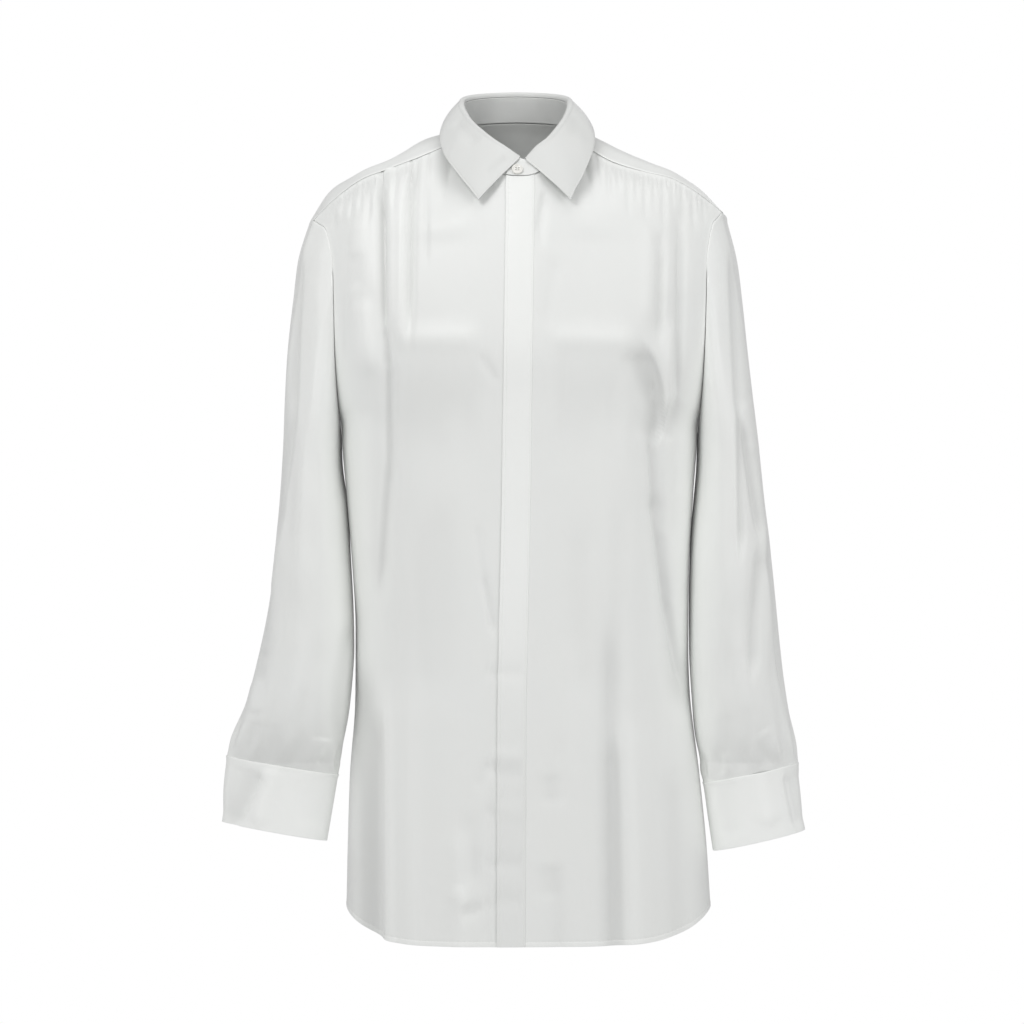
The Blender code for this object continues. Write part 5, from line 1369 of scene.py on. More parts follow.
def pucker(run, seed):
    """Small uneven ripples along a stitched line: two sines of its length, swelling and fading slowly."""
    phase = np.random.default_rng(seed).uniform(0, 2 * math.pi, 4)
    slow, quick = PUCKER_SWELLS
    swell = PUCKER_MEAN + PUCKER_SWING * np.sin(run / slow + phase[0]) * np.sin(run / quick + phase[1])
    bend = PUCKER_BEND * np.sin(run / PUCKER_DRIFT + phase[2])
    return swell * np.sin(run / PUCKER_RIPPLE + bend + phase[3])


def painted_light_and_whiteness_of(name, outer, normals, folds, layers, sewn):
    """How white each point is: whiter over doubled cloth and seam allowances, with painted shade in troughs,
    towards the placket's hem and on the collar, painted highlight on ridges, and painted light near seams and
    on faces that look to the side.
    """
    # Painted light on faces that look to the side, by the share of their normal along x
    painted_side_light = ease((np.abs(normals[..., 0]) - SIDEWAYS_FROM) / SIDEWAYS_RUN)
    white = WHITENESS_AND_PAINTED_SHADE.get(name, 1.0)
    white = white + (PAINTED_SHADE_TOWARDS_HEM.get(name, white) - white) * ease((PAINTED_SHADE_FROM - outer[..., 2]) / PAINTED_SHADE_RUN)
    # Painted shade in troughs, painted highlight on ridges, and painted light near seams and on side faces,
    # over the whiter doubled cloth
    white = (white + BAND_WHITER * layers + RIDGE_PAINTED_HIGHLIGHT * ease(folds / RIDGE_HEIGHT) + SEAM_ALLOWANCE_AND_PAINTED_LIGHT * sewn
             + SIDEWAYS_PAINTED_LIGHT * painted_side_light - HOLLOW_PAINTED_SHADE * ease(-folds / HOLLOW_DEPTH))
    return np.minimum(white, WHITEST)


@cache
def finished(name, ply):
    """Outer and inner points of a piece: rolled seams, rounded folds, stitch grooves, hem and puckers."""
    cut, _ = lined(name)
    normals = mitred_normals(name)
    shape = cut.points.shape[:2]
    thickness = np.full(shape, cut.ply or ply)
    layers, relief, sewn, rounded = np.zeros(shape), np.zeros(shape), np.zeros(shape), np.ones(shape)
    for number, (edge, (kind, stitch)) in enumerate(cut.edges.items()):
        distance = edge_distance(cut.points, edge)
        run = edge_distance(cut.points, "start" if edge in ("top", "bottom") else "top")
        if kind in SEWN:
            sewn = np.maximum(sewn, bell(distance, SEAM_WHITER_REACH))
        if kind == "tuck":
            distance = distance - TUCK_LENGTH
        if kind in ("seam", "tuck"):
            roll = TUCK_ROLL if kind == "tuck" else SEAM_ROLL
            left = np.clip(1 - distance / roll, 0, 1)
            relief -= roll * (1 - np.sqrt(1 - left ** 2)) + TUCK_DROP * ease(-distance / TUCK_LENGTH)
        else:
            left = np.clip(1 - distance / FOLD_ROUND, 0, 1)
            rounded = np.minimum(rounded, np.sqrt(1 - left ** 2))
        if kind == "seam":
            relief -= SEAM_VALLEY * bell(distance, SEAM_VALLEY_REACH) * ease(distance)
        if kind == "lap":
            relief -= LAP_DROP * np.clip(1 - distance / LAP_DROP_REACH, 0, 1)
        if kind in SEWN:
            relief += SEAM_PUCKER * pucker(run, number) * bell(distance, PUCKER_REACH) * ease(distance / 2)
        if stitch:
            relief -= STITCH_GROOVE * bell(distance - stitch, STITCH_GROOVE_REACH)
            ripples = pucker(run, number + STITCH_SEED) * bell(distance - stitch, PUCKER_REACH)
            relief += PUCKER * ripples * ease(distance)
        if kind == "hem":
            layers = np.maximum(layers, ease((stitch + HEM_BAND_BEYOND - distance) / BAND_EDGE))
            thickness = thickness + HEM_PLY * layers
        if name == "yoke" and edge in ("start", "end"):
            width = YOKE_BAND - YOKE_BAND_NARROWS * run / run.max()
            layers = np.maximum(layers, ease((width - distance) / BAND_EDGE))
    folds = cut.folds(cut.points) if cut.folds else np.zeros(shape)
    outer = cut.points + normals * (relief + BAND_RISE * layers)[..., None]
    normals = grid_normals(outer, cut.outward, cut.closed)
    # How white each point looks, with painted shade in troughs, on the collar and towards the placket's hem,
    # and painted highlight and light on ridges, side faces and seams
    cut.whiteness = painted_light_and_whiteness_of(name, outer, normals, folds, layers, sewn)
    kept = np.maximum(thickness * rounded, THINNEST)
    outer_points = outer - normals * ((thickness - kept) / 2)[..., None]
    inner_points = outer - normals * ((thickness + kept) / 2)[..., None]
    return cut, outer_points, inner_points, normals


def new_object(name, data):
    """Add an object to the scene."""
    made = bpy.data.objects.new(name, data)
    bpy.context.scene.collection.objects.link(made)
    return made


def finish_mesh(mesh, material):
    """Shade a mesh smooth between its sharp edges, in one material."""
    mesh.shade_smooth()
    mesh.set_sharp_from_angle(angle=SHARP_ANGLE)
    mesh.materials.clear()
    mesh.materials.append(material)


def add_mesh(name, points, quads, material, uv=None, uv_quads=None):
    """Make an object from points in millimetres and quads, with a UV layer in metres if given."""
    mesh = bpy.data.meshes.new(name)
    mesh.vertices.add(len(points))
    mesh.vertices.foreach_set("co", (points * MM).astype(np.float32).ravel())
    mesh.loops.add(quads.size)
    mesh.loops.foreach_set("vertex_index", quads.astype(np.int32).ravel())
    mesh.polygons.add(len(quads))
    mesh.polygons.foreach_set("loop_start", np.arange(0, quads.size, quads.shape[1], dtype=np.int32))
    mesh.update(calc_edges=True)
    if uv is not None:
        layer = mesh.uv_layers.new(name="cloth")
        layer.uv.foreach_set("vector", uv[uv_quads.ravel()].astype(np.float32).ravel())
    finish_mesh(mesh, material)
    if mesh.validate():
        raise RuntimeError(f"{name} has broken faces")
    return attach(new_object(name, mesh), "root")


def cloth_object(name, ply, material):
    """Close a finished piece into a shell: outer points, inner points and the rims between them."""
    cut, outer, inner, normals = finished(name, ply)
    rows, columns = outer.shape[:2]
    wide = columns + (1 if cut.closed else 0)
    r, c = np.meshgrid(np.arange(rows - 1), np.arange(wide - 1), indexing="ij")
    corners = [(r, c), (r + 1, c), (r + 1, c + 1), (r, c + 1)]
    outer_quads = np.stack([a * columns + b % columns for a, b in corners], axis=-1).reshape(-1, 4)
    uv_quads = np.stack([a * wide + b for a, b in corners], axis=-1).reshape(-1, 4)
    inner_quads = outer_quads[:, ::-1] + rows * columns
    numbers = np.arange(rows)[:, None] * columns + np.arange(wide) % columns
    uv_numbers = np.arange(rows)[:, None] * wide + np.arange(wide)

    def rims(grid, shift):
        lines = [grid[0], grid[-1, ::-1]]
        if not cut.closed:
            lines += [grid[::-1, 0], grid[:, -1]]
        return np.vstack([np.stack([line[:-1], line[1:], line[1:] + shift, line[:-1] + shift], axis=-1)
                          for line in lines])

    quads = np.vstack([outer_quads, inner_quads, rims(numbers, rows * columns)])
    uv_all = np.vstack([uv_quads, uv_quads[:, ::-1], rims(uv_numbers, 0)])
    r, c = rows // 2, columns // 2
    facing = np.cross(outer[r + 1, c] - outer[r, c], outer[r + 1, c + 1] - outer[r, c])
    if np.dot(facing, normals[r, c]) < 0:
        quads, uv_all = quads[:, ::-1], uv_all[:, ::-1]
    ring = np.concatenate([cut.points, cut.points[:, :1]], axis=1) if cut.closed else cut.points
    uv = np.stack([edge_distance(ring, "start"), -edge_distance(ring, "top")], axis=-1).reshape(-1, 2) * MM
    points = np.concatenate([outer.reshape(-1, 3), inner.reshape(-1, 3)])
    made = add_mesh(name + "_cloth", points, quads, material, uv, uv_all)
    # Stores how white each point is, painted shade and painted light included
    attribute = made.data.attributes.new("whiteness", "FLOAT", "POINT")
    attribute.data.foreach_set("value", np.tile(cut.whiteness.ravel(), 2).astype(np.float32))
    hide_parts(name)
    return made


def stitch_path(name, ply, edge):
    """Points and normals along one edge's stitch line, as far as the stitch lines that cross it."""
    cut, outer, _, normals = finished(name, ply)
    line = edge_distances(*cut.edges[edge]).index(cut.edges[edge][1])
    ends = []
    for near in (("start", "end") if edge in ("top", "bottom") else ("top", "bottom")):
        kind, stitch = cut.edges[near]
        lines = edge_distances(kind, stitch)
        ends.append(lines.index(stitch) if stitch else len(lines) - 1)
    points, ways = (edge_view(grid, edge)[line] for grid in (outer, normals))
    keep = slice(ends[0], len(points) - ends[1])
    return points[keep], ways[keep]


def thread_stitches(paths, length, gap, radius):
    """Stitches along paths: each is a small rounded bar that sinks into the cloth at both ends.

    A stitch's point is its centre + tangent * a + side * b + normal * h, where a, b and h come from five
    square rings whose radius falls towards the ends.
    """
    turns = np.radians([45, 135, 225, 315])
    ring = np.stack([
        np.repeat(RING_PLACES * length, RING_CORNERS),
        (RING_WIDTHS[:, None] * np.cos(turns)).ravel() * radius * STITCH_BREADTH,
        ((RING_WIDTHS[:, None] * np.sin(turns)) + RING_LIFTS[:, None]).ravel() * radius,
    ], axis=-1)
    corner = np.arange(RING_CORNERS)
    after = (corner + 1) % RING_CORNERS
    sides = [np.stack([low + corner, low + after, low + RING_CORNERS + after, low + RING_CORNERS + corner],
                      axis=-1) for low in range(0, len(ring) - RING_CORNERS, RING_CORNERS)]
    template = np.vstack(sides + [corner[None, ::-1], corner[None] + len(ring) - RING_CORNERS])
    points, quads, count = [], [], 0
    for path, ways in paths:
        far = lengths_along(path)
        centres = np.arange(gap + length / 2, far[-1] - length / 2, length + gap)
        before, after = (at_shares(path, far, centres + step) for step in (-TANGENT_STEP, TANGENT_STEP))
        tangent = unit(after - before)
        normal = at_shares(ways, far, centres)
        normal = unit(normal - tangent * np.sum(normal * tangent, axis=1, keepdims=True))
        side = np.cross(normal, tangent)
        middle = at_shares(path, far, centres)
        made = (middle[:, None] + tangent[:, None] * ring[None, :, :1] + side[:, None] * ring[None, :, 1:2]
                + normal[:, None] * ring[None, :, 2:])
        points.append(made.reshape(-1, 3))
        starts = count + len(ring) * np.arange(len(centres))
        quads.append((starts[:, None, None] + template[None]).reshape(-1, 4))
        count += made.shape[0] * made.shape[1]
    return np.vstack(points), np.vstack(quads)


def satin_stitches(paths):
    """One stitch along nearly the whole of each path."""
    parts = [thread_stitches([path], SATIN_SHARE * lengths_along(path[0])[-1], 0.0, SATIN_RADIUS)
             for path in paths]
    starts = np.cumsum([0] + [len(points) for points, _ in parts[:-1]])
    return np.vstack([points for points, _ in parts]), np.vstack([
        quads + start for (_, quads), start in zip(parts, starts)])


def thread_object(name, stitches):
    """One mesh of stitches, in matt thread of the cloth's colour."""
    material = plain_material("thread", bpy.context.scene.shirt_sewing.colour, 0.6)
    add_mesh(name, *stitches, material)


def seat_matrix(place, way, up, lift):
    """Place with z along way and x square to up, in metres, lifted along way by lift millimetres."""
    z_axis = Vector(way).normalized()
    x_axis = Vector(up).cross(z_axis).normalized()
    turned = Matrix((x_axis, z_axis.cross(x_axis), z_axis)).transposed().to_4x4()
    return Matrix.Translation(Vector(place + way * lift) * MM) @ turned


def built_mesh(builder, name):
    """Turn a bmesh into a mesh."""
    mesh = bpy.data.meshes.new(name)
    builder.to_mesh(mesh)
    builder.free()
    return mesh


def button_mesh(name):
    """A dished round button with four holes. Each ring is (radius(s) cos t, radius(s) sin t, height(s))."""
    stops = np.arange(len(BUTTON_PROFILE["radius"]))
    at = np.linspace(0, stops[-1], BUTTON_RINGS)
    radius = along(stops, BUTTON_PROFILE["radius"], at) * BUTTON_RADIUS
    height = along(stops, BUTTON_PROFILE["height"], at) * BUTTON_HEIGHT
    turns = np.linspace(0, 2 * math.pi, BUTTON_SEGMENTS, endpoint=False)
    rings = np.stack([radius[:-1, None] * np.cos(turns), radius[:-1, None] * np.sin(turns),
                      np.repeat(height[:-1, None], BUTTON_SEGMENTS, axis=1)], axis=-1)
    builder = bmesh.new()
    made = [[builder.verts.new(point * MM) for point in ring] for ring in rings]
    for low, high in zip(made, made[1:]):
        for k in range(BUTTON_SEGMENTS):
            after = (k + 1) % BUTTON_SEGMENTS
            builder.faces.new((low[k], low[after], high[after], high[k]))
    builder.faces.new(made[0][::-1])
    builder.faces.new(made[-1])
    return built_mesh(builder, name)


def button_holes():
    """Centres of the four holes in the button's own plane."""
    turns = math.pi / 4 + np.arange(4) * math.pi / 2
    return BUTTON_HOLE_CENTRE * np.stack([np.cos(turns), np.sin(turns), 0 * turns], axis=-1)


def button_object(name, seat, material):
    """Cut the four holes, turn the button to its seat and leave the mesh itself in place."""
    blank = new_object(name + "_blank", button_mesh(name + "_blank"))
    cutters = []
    for k, centre in enumerate(button_holes()):
        builder = bmesh.new()
        bmesh.ops.create_cone(builder, cap_ends=True, segments=HOLE_SEGMENTS, radius1=BUTTON_HOLE * MM,
                              radius2=BUTTON_HOLE * MM, depth=4 * BUTTON_HEIGHT * MM)
        cutter = new_object(f"{name}_cutter_{k}", built_mesh(builder, f"{name}_cutter_{k}"))
        cutter.location = Vector(centre) * MM
        cut = blank.modifiers.new(f"hole_{k}", "BOOLEAN")
        cut.operation, cut.solver, cut.object = "DIFFERENCE", "EXACT", cutter
        cutters.append(cutter)
    ready = blank.evaluated_get(bpy.context.evaluated_depsgraph_get())
    mesh = bpy.data.meshes.new_from_object(ready)
    mesh.name = name + "_face"
    for spare in cutters + [blank]:
        bpy.data.objects.remove(spare, do_unlink=True)
    mesh.transform(seat_matrix(*seat, SEAM_GAP))
    finish_mesh(mesh, material)
    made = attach(new_object(name + "_face", mesh), "root")
    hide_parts(name)


def button_thread(seat):
    """Two bars of thread over the face, each from one hole to the next, three strands wide."""
    matrix = np.array(seat_matrix(*seat, SEAM_GAP))
    paths = []
    for holes in ((0, 1), (3, 2)):
        for aside in STRANDS:
            run = button_holes()[list(holes)] + np.array([0, aside, STRAND_HEIGHT * BUTTON_HEIGHT])
            paths.append((run @ matrix[:3, :3].T + matrix[:3, 3] / MM, np.array([seat[1]] * 2)))
    return paths


def buttonhole(surface, start, end, across, away):
    """Satin stitches on both sides of a slit along a surface's first parameter, and bars at its end."""
    paths = []
    first, last = (on_surface(surface, place, across, away)[0] for place in (start, end))
    count = int(np.linalg.norm(last - first) / SATIN_PITCH)
    for share in np.linspace(0, 1, count):
        place, way, up = on_surface(surface, start + (end - start) * share, across, away)
        for side in (-1, 1):
            reach = np.array([[SATIN_INSIDE], [SATIN_INSIDE + SATIN_LENGTH]]) * side
            paths.append((place + unit(up) * reach, np.array([way, way])))
    place, way, up = on_surface(surface, end, across, away)
    side = unit(np.cross(up, way))
    for share in np.linspace(-1, 1, END_BARS):
        middle = place + unit(up) * share * SATIN_LENGTH
        paths.append((np.array([middle - side * END_BAR_HALF, middle + side * END_BAR_HALF]),
                      np.array([way, way])))
    return paths


def node(tree, kind, x, y, **settings):
    """Add a node at a place in the tree and set its properties and unlinked inputs."""
    made = tree.nodes.new(kind)
    made.location = (x, y)
    for key, value in settings.items():
        if hasattr(made, key):
            setattr(made, key, value)
        else:
            made.inputs[key.replace("_", " ")].default_value = value
    return made


def join(source, output, target, socket):
    """Link an output of one node to an input of another."""
    source.id_data.links.new(source.outputs[output], target.inputs[socket])


def group_tree(name, inputs, output):
    """Start a node group. Each input is (name, kind of socket, default), and the output (name, kind)."""
    tree = bpy.data.node_groups.new(name, "ShaderNodeTree")
    for label, kind, default in inputs:
        socket = tree.interface.new_socket(name=label, in_out="INPUT", socket_type="NodeSocket" + kind)
        if default is not None:
            socket.default_value = default
    label, kind = output
    tree.interface.new_socket(name=label, in_out="OUTPUT", socket_type="NodeSocket" + kind)
    return tree, node(tree, "NodeGroupInput", -900, 0), node(tree, "NodeGroupOutput", 600, 0)


def weave_group():
    """Height of a fine crepe: two crossed sets of threads along the cloth's own UV, broken up by noise."""
    tree, given, result = group_tree(
        "silk weave", [("UV", "Vector", None), ("Threads per metre", "Float", 1800.0),
                       ("Unevenness", "Float", 0.35)], ("Height", "Float"))
    scaled = node(tree, "ShaderNodeVectorMath", -700, 0, operation="SCALE")
    join(given, "UV", scaled, 0)
    join(given, "Threads per metre", scaled, "Scale")
    grain = node(tree, "ShaderNodeTexNoise", -480, -220, Scale=0.35, Detail=3.0)
    join(scaled, 0, grain, "Vector")
    split = node(tree, "ShaderNodeSeparateXYZ", -480, 60)
    join(scaled, 0, split, 0)
    crossed = node(tree, "ShaderNodeMath", 80, 100, operation="MULTIPLY")
    for k, axis in enumerate("XY"):
        turned = node(tree, "ShaderNodeMath", -280, 160 - 140 * k, operation="MULTIPLY")
        turned.inputs[1].default_value = 2 * math.pi
        join(split, axis, turned, 0)
        wave = node(tree, "ShaderNodeMath", -100, 160 - 140 * k, operation="SINE")
        join(turned, 0, wave, 0)
        join(wave, 0, crossed, k)
    mixed = node(tree, "ShaderNodeMix", 280, 0, data_type="FLOAT")
    join(given, "Unevenness", mixed, 0)
    join(crossed, 0, mixed, 2)
    join(grain, "Fac", mixed, 3)
    join(mixed, 0, result, "Height")
    return tree


def crumple_group():
    """Height of small soft creases and of slow unevenness, from the object's own coordinates."""
    tree, given, result = group_tree(
        "silk crumple", [("Coordinates", "Vector", None), ("Creases per metre", "Float", 42.0),
                         ("Stretch", "Vector", (1.0, 1.0, 0.35))], ("Height", "Float"))
    stretched = node(tree, "ShaderNodeVectorMath", -700, 0, operation="MULTIPLY")
    join(given, "Coordinates", stretched, 0)
    join(given, "Stretch", stretched, 1)
    slow = node(tree, "ShaderNodeTexNoise", -480, 120, Detail=2.0, Roughness=0.45, Distortion=0.6)
    join(stretched, 0, slow, "Vector")
    join(given, "Creases per metre", slow, "Scale")
    ridged = node(tree, "ShaderNodeMath", -280, 120, operation="PINGPONG")
    ridged.inputs[1].default_value = 0.5
    join(slow, "Fac", ridged, 0)
    join(ridged, 0, result, "Height")
    return tree


def tone_group():
    """Ivory that shifts very slightly between two tones in broad soft patches, scaled by how white each point
    is, painted shade and painted light included.
    """
    tree, given, result = group_tree(
        "silk tone", [("Coordinates", "Vector", None), ("Tone", "Color", (0.8, 0.8, 0.8, 1.0)),
                      ("Warm tone", "Color", (0.8, 0.8, 0.8, 1.0)), ("Patches per metre", "Float", 9.0),
                      ("Whiteness", "Float", 1.0)], ("Color", "Color"))
    broad = node(tree, "ShaderNodeTexNoise", -480, 0, Detail=2.0)
    join(given, "Coordinates", broad, "Vector")
    join(given, "Patches per metre", broad, "Scale")
    mixed = node(tree, "ShaderNodeMix", 0, 0, data_type="RGBA")
    join(broad, "Fac", mixed, 0)
    join(given, "Tone", mixed, 6)
    join(given, "Warm tone", mixed, 7)
    scaled = node(tree, "ShaderNodeVectorMath", 250, 0, operation="SCALE")
    join(mixed, 2, scaled, 0)
    join(given, "Whiteness", scaled, "Scale")
    join(scaled, 0, result, "Color")
    return tree


def shared_group(tree, x, y, name, make, **values):
    """Place a node group in a material with its own values, and make it if it isn't there yet."""
    return node(tree, "ShaderNodeGroup", x, y, node_tree=bpy.data.node_groups.get(name) or make(), **values)


def new_material(name, **finish):
    """A material of one Principled shader with the given finish, joined to the output."""
    material = bpy.data.materials.new(name)
    material.use_nodes = True
    tree = material.node_tree
    tree.nodes.clear()
    shader = node(tree, "ShaderNodeBsdfPrincipled", 300, 0, **finish)
    join(shader, 0, node(tree, "ShaderNodeOutputMaterial", 600, 0), 0)
    return material, tree, shader


def silk_material():
    """Ivory silk: soft broad highlights, a faint grain and small creases, as white as its points say, with
    the painted shade and painted light that they carry.
    """
    found = bpy.data.materials.get("silk_crepe")
    if found:
        return found
    look = bpy.context.scene.shirt_silk
    material, tree, shader = new_material("silk_crepe", Roughness=look.roughness, Specular_IOR_Level=0.5,
                                          Sheen_Weight=look.sheen, Sheen_Roughness=0.35)
    place = node(tree, "ShaderNodeTexCoord", -900, 0)
    tone = shared_group(tree, -500, 240, "silk tone", tone_group, Tone=(*look.tone, 1.0),
                        Warm_tone=(*look.warm_tone, 1.0))
    join(place, "Object", tone, "Coordinates")
    # The base colour is scaled by each point's painted shade and painted light along with its whiteness
    join(node(tree, "ShaderNodeAttribute", -900, 300, attribute_name="whiteness"), "Fac", tone, "Whiteness")
    join(tone, "Color", shader, "Base Color")
    weave = shared_group(tree, -500, -40, "silk weave", weave_group)
    join(place, "UV", weave, "UV")
    crumple = shared_group(tree, -500, -300, "silk crumple", crumple_group)
    join(place, "Object", crumple, "Coordinates")
    soft = node(tree, "ShaderNodeBump", -200, -300, Strength=look.crumple, Distance=2 * MM)
    join(crumple, "Height", soft, "Height")
    fine = node(tree, "ShaderNodeBump", 50, -200, Strength=look.weave, Distance=0.1 * MM)
    join(weave, "Height", fine, "Height")
    join(soft, "Normal", fine, "Normal")
    join(fine, "Normal", shader, "Normal")
    return material


def plain_material(name, colour, roughness, coat=0.0):
    """A plain finish of one colour, made once."""
    return bpy.data.materials.get(name) or new_material(
        name, Base_Color=(*colour, 1.0), Roughness=roughness, Coat_Weight=coat, Coat_Roughness=0.12)[0]


def distance_setting(name, description, default, low, high):
    """A length, in metres."""
    return FloatProperty(name=name, description=description, subtype="DISTANCE", unit="LENGTH",
                         default=default, min=low, max=high)


def colour_setting(name, description, default):
    """A colour."""
    return FloatVectorProperty(name=name, description=description, subtype="COLOR", size=3, default=default)


def share_setting(name, description, default, low=0, high=1):
    """A share or weight."""
    return FloatProperty(name=name, description=description, default=default, min=low, max=high)


def power_setting(name, description, default):
    """A light's power, in watts."""
    return FloatProperty(name=name, description=description, subtype="POWER", unit="POWER", default=default,
                         min=0, max=500)


class SilkSettings(bpy.types.PropertyGroup):
    """How the silk looks."""

    tone: colour_setting("Tone", "Main tone of the silk", (0.855, 0.868, 0.855))
    warm_tone: colour_setting("Warm tone", "Second tone, in broad soft patches", (0.85, 0.858, 0.838))
    roughness: share_setting("Roughness", "Roughness of the silk", 0.4, 0.1)
    sheen: share_setting("Sheen", "Weight of the soft edge sheen", 0.55)
    weave: share_setting("Weave", "Strength of the crepe grain", 0.25)
    crumple: share_setting("Crumple", "Strength of the small soft creases", 0.25)
    ply: distance_setting("Cloth thickness", "Thickness of one layer", 0.0005, 0.0002, 0.002)


class SewingSettings(bpy.types.PropertyGroup):
    """The visible stitches."""

    length: distance_setting("Stitch length", "Length of one stitch", STITCH_LENGTH * MM, 0.001, 0.006)
    space: distance_setting("Space", "Gap between two stitches", STITCH_SPACE * MM, 0.0002, 0.003)
    thread: distance_setting("Thread radius", "Radius of the sewing thread", THREAD_RADIUS * MM, 0.00005,
                             0.0005)
    colour: colour_setting("Thread colour", "Colour of the sewing thread", (0.80, 0.80, 0.77))


class ButtonSettings(bpy.types.PropertyGroup):
    """The finish of the buttons."""

    colour: colour_setting("Colour", "Colour of the buttons", (0.84, 0.83, 0.79))
    roughness: share_setting("Roughness", "Roughness of the buttons", 0.25)
    coat: share_setting("Coat", "Weight of the clear gloss", 0.6)


class StageSettings(bpy.types.PropertyGroup):
    """Floor, lights and camera."""

    floor_height: distance_setting("Floor height", "Height of the floor", -1.35, -3, -0.8)
    world: share_setting("World light", "Strength of the even light from all round", 0.47, 0, 2)
    key: power_setting("Key light", "Power of the large light at the front", 30)
    fill: power_setting("Fill light", "Power of the light at the right", 20)
    top: power_setting("Top light", "Power of the light from above", 9)
    lens: FloatProperty(name="Lens", description="Focal length of the camera in millimetres", default=140.6,
                        min=30, max=300)


def silk_ply():
    """Thickness of one layer of cloth in millimetres."""
    return bpy.context.scene.shirt_silk.ply / MM


class Step:
    """What every operator has: it can be undone."""

    bl_options = {"REGISTER", "UNDO"}


class PieceOperator(Step):
    """Makes the cloth pieces it names."""

    pieces = ()

    def execute(self, context):
        for name in self.pieces:
            cloth_object(name, silk_ply(), silk_material())
        return {"FINISHED"}


class SHIRT_OT_yoke(PieceOperator, bpy.types.Operator):
    """Make the yoke"""

    bl_idname = "shirt.yoke"
    bl_label = "Yoke"
    pieces = ("yoke",)


class SHIRT_OT_fronts(PieceOperator, bpy.types.Operator):
    """Make both gathered fronts"""

    bl_idname = "shirt.fronts"
    bl_label = "Fronts"
    pieces = ("front_right", "front_left")


class SHIRT_OT_placket(PieceOperator, bpy.types.Operator):
    """Make the concealed placket"""

    bl_idname = "shirt.placket"
    bl_label = "Placket"
    pieces = ("placket",)


class SHIRT_OT_back(PieceOperator, bpy.types.Operator):
    """Make the gathered back"""

    bl_idname = "shirt.back"
    bl_label = "Back"
    pieces = ("back",)


class SHIRT_OT_sleeves(PieceOperator, bpy.types.Operator):
    """Make both bloused sleeves"""

    bl_idname = "shirt.sleeves"
    bl_label = "Sleeves"
    pieces = ("sleeve_right", "sleeve_left")


class SHIRT_OT_cuffs(PieceOperator, bpy.types.Operator):
    """Make both lapped cuffs"""

    bl_idname = "shirt.cuffs"
    bl_label = "Cuffs"
    pieces = ("cuff_right", "cuff_left")


class SHIRT_OT_stand(PieceOperator, bpy.types.Operator):
    """Make the collar stand"""

    bl_idname = "shirt.stand"
    bl_label = "Collar stand"
    pieces = ("collar_stand",)


class SHIRT_OT_leaf(PieceOperator, bpy.types.Operator):
    """Make the pointed collar leaf"""

    bl_idname = "shirt.leaf"
    bl_label = "Collar leaf"
    pieces = ("collar_leaf",)


class SHIRT_OT_buttons(Step, bpy.types.Operator):
    """Make the collar button and the two cuff buttons with their thread"""

    bl_idname = "shirt.buttons"
    bl_label = "Buttons"

    def execute(self, context):
        look = context.scene.shirt_buttons
        material = plain_material("button_shell", look.colour, look.roughness, look.coat)
        for name, seat in button_seats().items():
            button_object(name, seat, material)
            thread_object(name + "_thread", satin_stitches(button_thread(seat)))
        return {"FINISHED"}


class SHIRT_OT_buttonholes(Step, bpy.types.Operator):
    """Make the satin stitches round the stand's and the cuffs' buttonholes"""

    bl_idname = "shirt.buttonholes"
    bl_label = "Buttonholes"

    def execute(self, context):
        rim = BUTTON_FROM_CENTRE + BUTTON_RADIUS
        paths = buttonhole(stand_surface, stand_turn(rim), stand_turn(rim + HOLE_SHOWING), BUTTON_STAND_SHARE,
                           NECK_CENTRE)
        thread_object("collar_buttonhole", satin_stitches(paths))
        start, end = (CUFF_BUTTON_SEAT + turn for turn in CUFF_HOLE_TURNS)
        for sign, name in ((-1, "cuff_right"), (1, "cuff_left")):
            surface = partial(cuff_surface, sign)
            paths = buttonhole(surface, start, end, CUFF_BUTTON_SHARE, cuff_middle(surface))
            thread_object(name + "_buttonhole", satin_stitches(paths))
        return {"FINISHED"}


class SHIRT_OT_stitching(Step, bpy.types.Operator):
    """Make the rows of stitches along the placket, the collar and the hems"""

    bl_idname = "shirt.stitching"
    bl_label = "Stitching"

    def execute(self, context):
        sewing = context.scene.shirt_sewing
        sizes = (sewing.length / MM, sewing.space / MM, sewing.thread / MM)
        for name, edge in STITCHED_PIECES:
            path = stitch_path(name, silk_ply(), edge)
            thread_object(f"{name}_stitches_{edge}", thread_stitches([path], *sizes))
        return {"FINISHED"}


def area_light(name, place, aim, size, power):
    """A large square light that looks at a point."""
    light = bpy.data.lights.new(name, "AREA")
    light.shape, light.size, light.energy = "SQUARE", size, power
    made = new_object(name, light)
    made.location = place
    made.rotation_euler = (Vector(aim) - Vector(place)).to_track_quat("-Z", "Y").to_euler()


def studio_world(strength):
    """An even light from all round, seen as plain white."""
    world = bpy.data.worlds.new("studio")
    world.use_nodes = True
    tree = world.node_tree
    tree.nodes.clear()
    seen = node(tree, "ShaderNodeBackground", 0, 120, Color=(1, 1, 1, 1), Strength=1.0)
    light = node(tree, "ShaderNodeBackground", 0, -40, Color=(1, 1, 1, 1), Strength=strength)
    mixed = node(tree, "ShaderNodeMixShader", 240, 60)
    join(node(tree, "ShaderNodeLightPath", 0, 460), "Is Camera Ray", mixed, 0)
    join(light, 0, mixed, 1)
    join(seen, 0, mixed, 2)
    join(mixed, 0, node(tree, "ShaderNodeOutputWorld", 460, 60), 0)
    return world


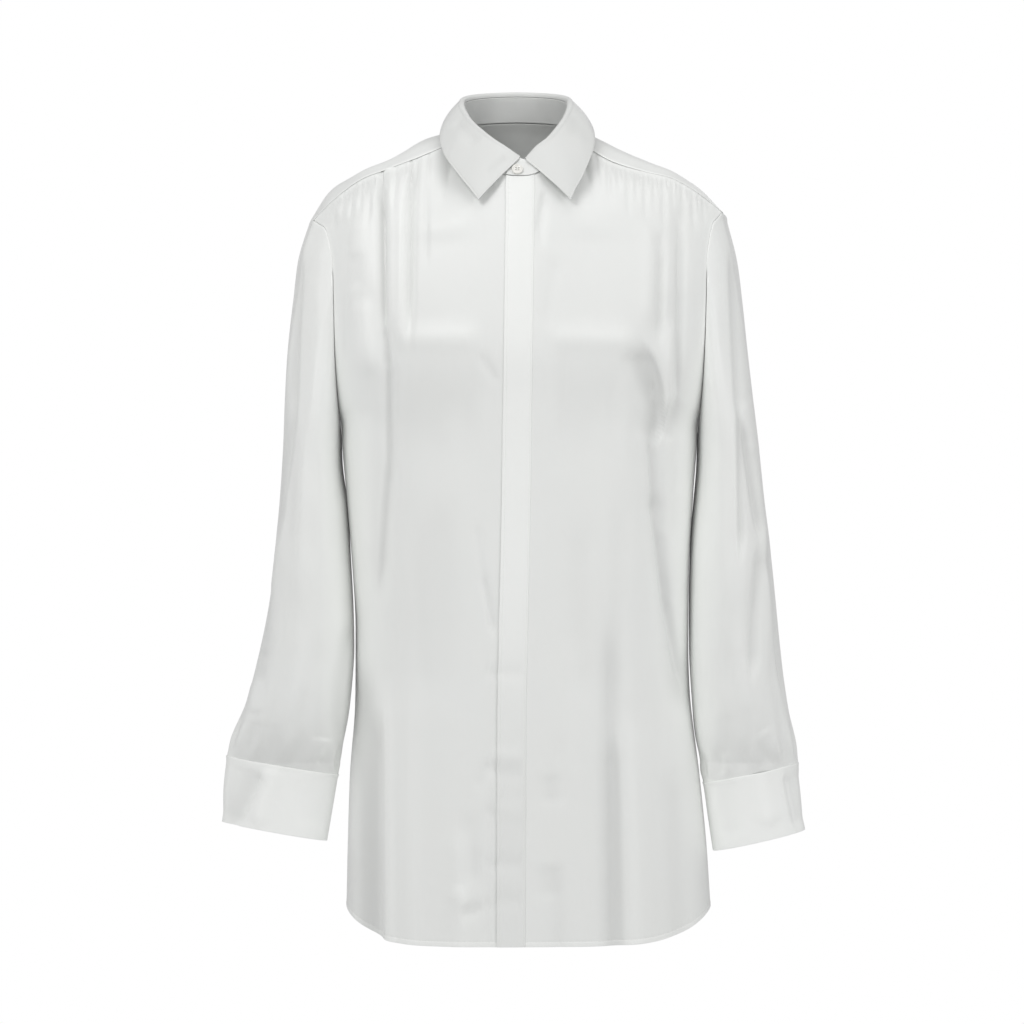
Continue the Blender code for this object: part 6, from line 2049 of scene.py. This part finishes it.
class SHIRT_OT_stage(Step, bpy.types.Operator):
    """Make the floor, the even surrounding light, the lamps and the camera"""

    bl_idname = "shirt.stage"
    bl_label = "Stage"

    def execute(self, context):
        scene, look = context.scene, context.scene.shirt_stage
        mesh = bpy.data.meshes.new("floor")
        turns = np.linspace(0, 2 * math.pi, FLOOR_CORNERS, endpoint=False)
        mesh.from_pydata([(FLOOR_RADIUS * math.cos(t), FLOOR_RADIUS * math.sin(t), look.floor_height)
                          for t in turns], [], [range(FLOOR_CORNERS)])
        mesh.materials.append(plain_material("floor_paint", FLOOR_COLOUR, FLOOR_ROUGHNESS))
        new_object("floor", mesh)
        scene.world = studio_world(look.world)
        for name, place, aim, size in LIGHTS:
            area_light(name, place, aim, size, getattr(look, name))
        camera = bpy.data.cameras.new("camera")
        camera.sensor_width, camera.lens = SENSOR_WIDTH, look.lens
        scene.camera = new_object("camera", camera)
        scene.camera.location = CAMERA_PLACE
        scene.camera.rotation_euler = (math.pi / 2, 0, 0)
        scene.view_settings.view_transform = "Standard"
        return {"FINISHED"}


class SHIRT_PT_panel(bpy.types.Panel):
    """Sidebar panel with every step and its settings"""

    bl_idname = "SHIRT_PT_panel"
    bl_label = "Silk shirt"
    bl_space_type = "VIEW_3D"
    bl_region_type = "UI"
    bl_category = "Shirt"

    def draw(self, context):
        for title, name, settings in SETTINGS:
            box = self.layout.box()
            box.label(text=title)
            group = getattr(context.scene, name)
            for key in settings.__annotations__:
                box.prop(group, key)
        for operator in OPERATORS:
            self.layout.operator(operator.bl_idname)


SETTINGS = (("Silk", "shirt_silk", SilkSettings), ("Sewing", "shirt_sewing", SewingSettings),
            ("Buttons", "shirt_buttons", ButtonSettings), ("Stage", "shirt_stage", StageSettings))
OPERATORS = (SHIRT_OT_stage, SHIRT_OT_yoke, SHIRT_OT_fronts, SHIRT_OT_placket, SHIRT_OT_back,
             SHIRT_OT_sleeves, SHIRT_OT_cuffs, SHIRT_OT_stand, SHIRT_OT_leaf, SHIRT_OT_buttons,
             SHIRT_OT_buttonholes, SHIRT_OT_stitching)


def register():
    """Register the settings, the operators and the panel."""
    for _, name, settings in SETTINGS:
        bpy.utils.register_class(settings)
        setattr(bpy.types.Scene, name, PointerProperty(type=settings))
    for made in OPERATORS + (SHIRT_PT_panel,):
        bpy.utils.register_class(made)


def unregister():
    """Take the settings, the operators and the panel out again."""
    for made in (SHIRT_PT_panel,) + OPERATORS[::-1]:
        bpy.utils.unregister_class(made)
    for _, name, settings in SETTINGS[::-1]:
        delattr(bpy.types.Scene, name)
        bpy.utils.unregister_class(settings)


def visual_box():
    """Corners of the box round every shown mesh that isn't stage."""
    bpy.context.view_layer.update()
    lows, highs = [], []
    for made in bpy.context.scene.objects:
        if made.type != "MESH" or made.hide_render or made.name == "floor":
            continue
        points = np.empty(len(made.data.vertices) * 3)
        made.data.vertices.foreach_get("co", points)
        matrix = np.array(made.matrix_world)
        world = points.reshape(-1, 3) @ matrix[:3, :3].T + matrix[:3, 3]
        lows.append(world.min(axis=0))
        highs.append(world.max(axis=0))
    return np.min(lows, axis=0), np.max(highs, axis=0)


def main():
    """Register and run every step."""
    register()
    for operator in OPERATORS:
        group, name = operator.bl_idname.split(".")
        getattr(getattr(bpy.ops, group), name)()
    low, high = visual_box()


if __name__ == "__main__":
    main()
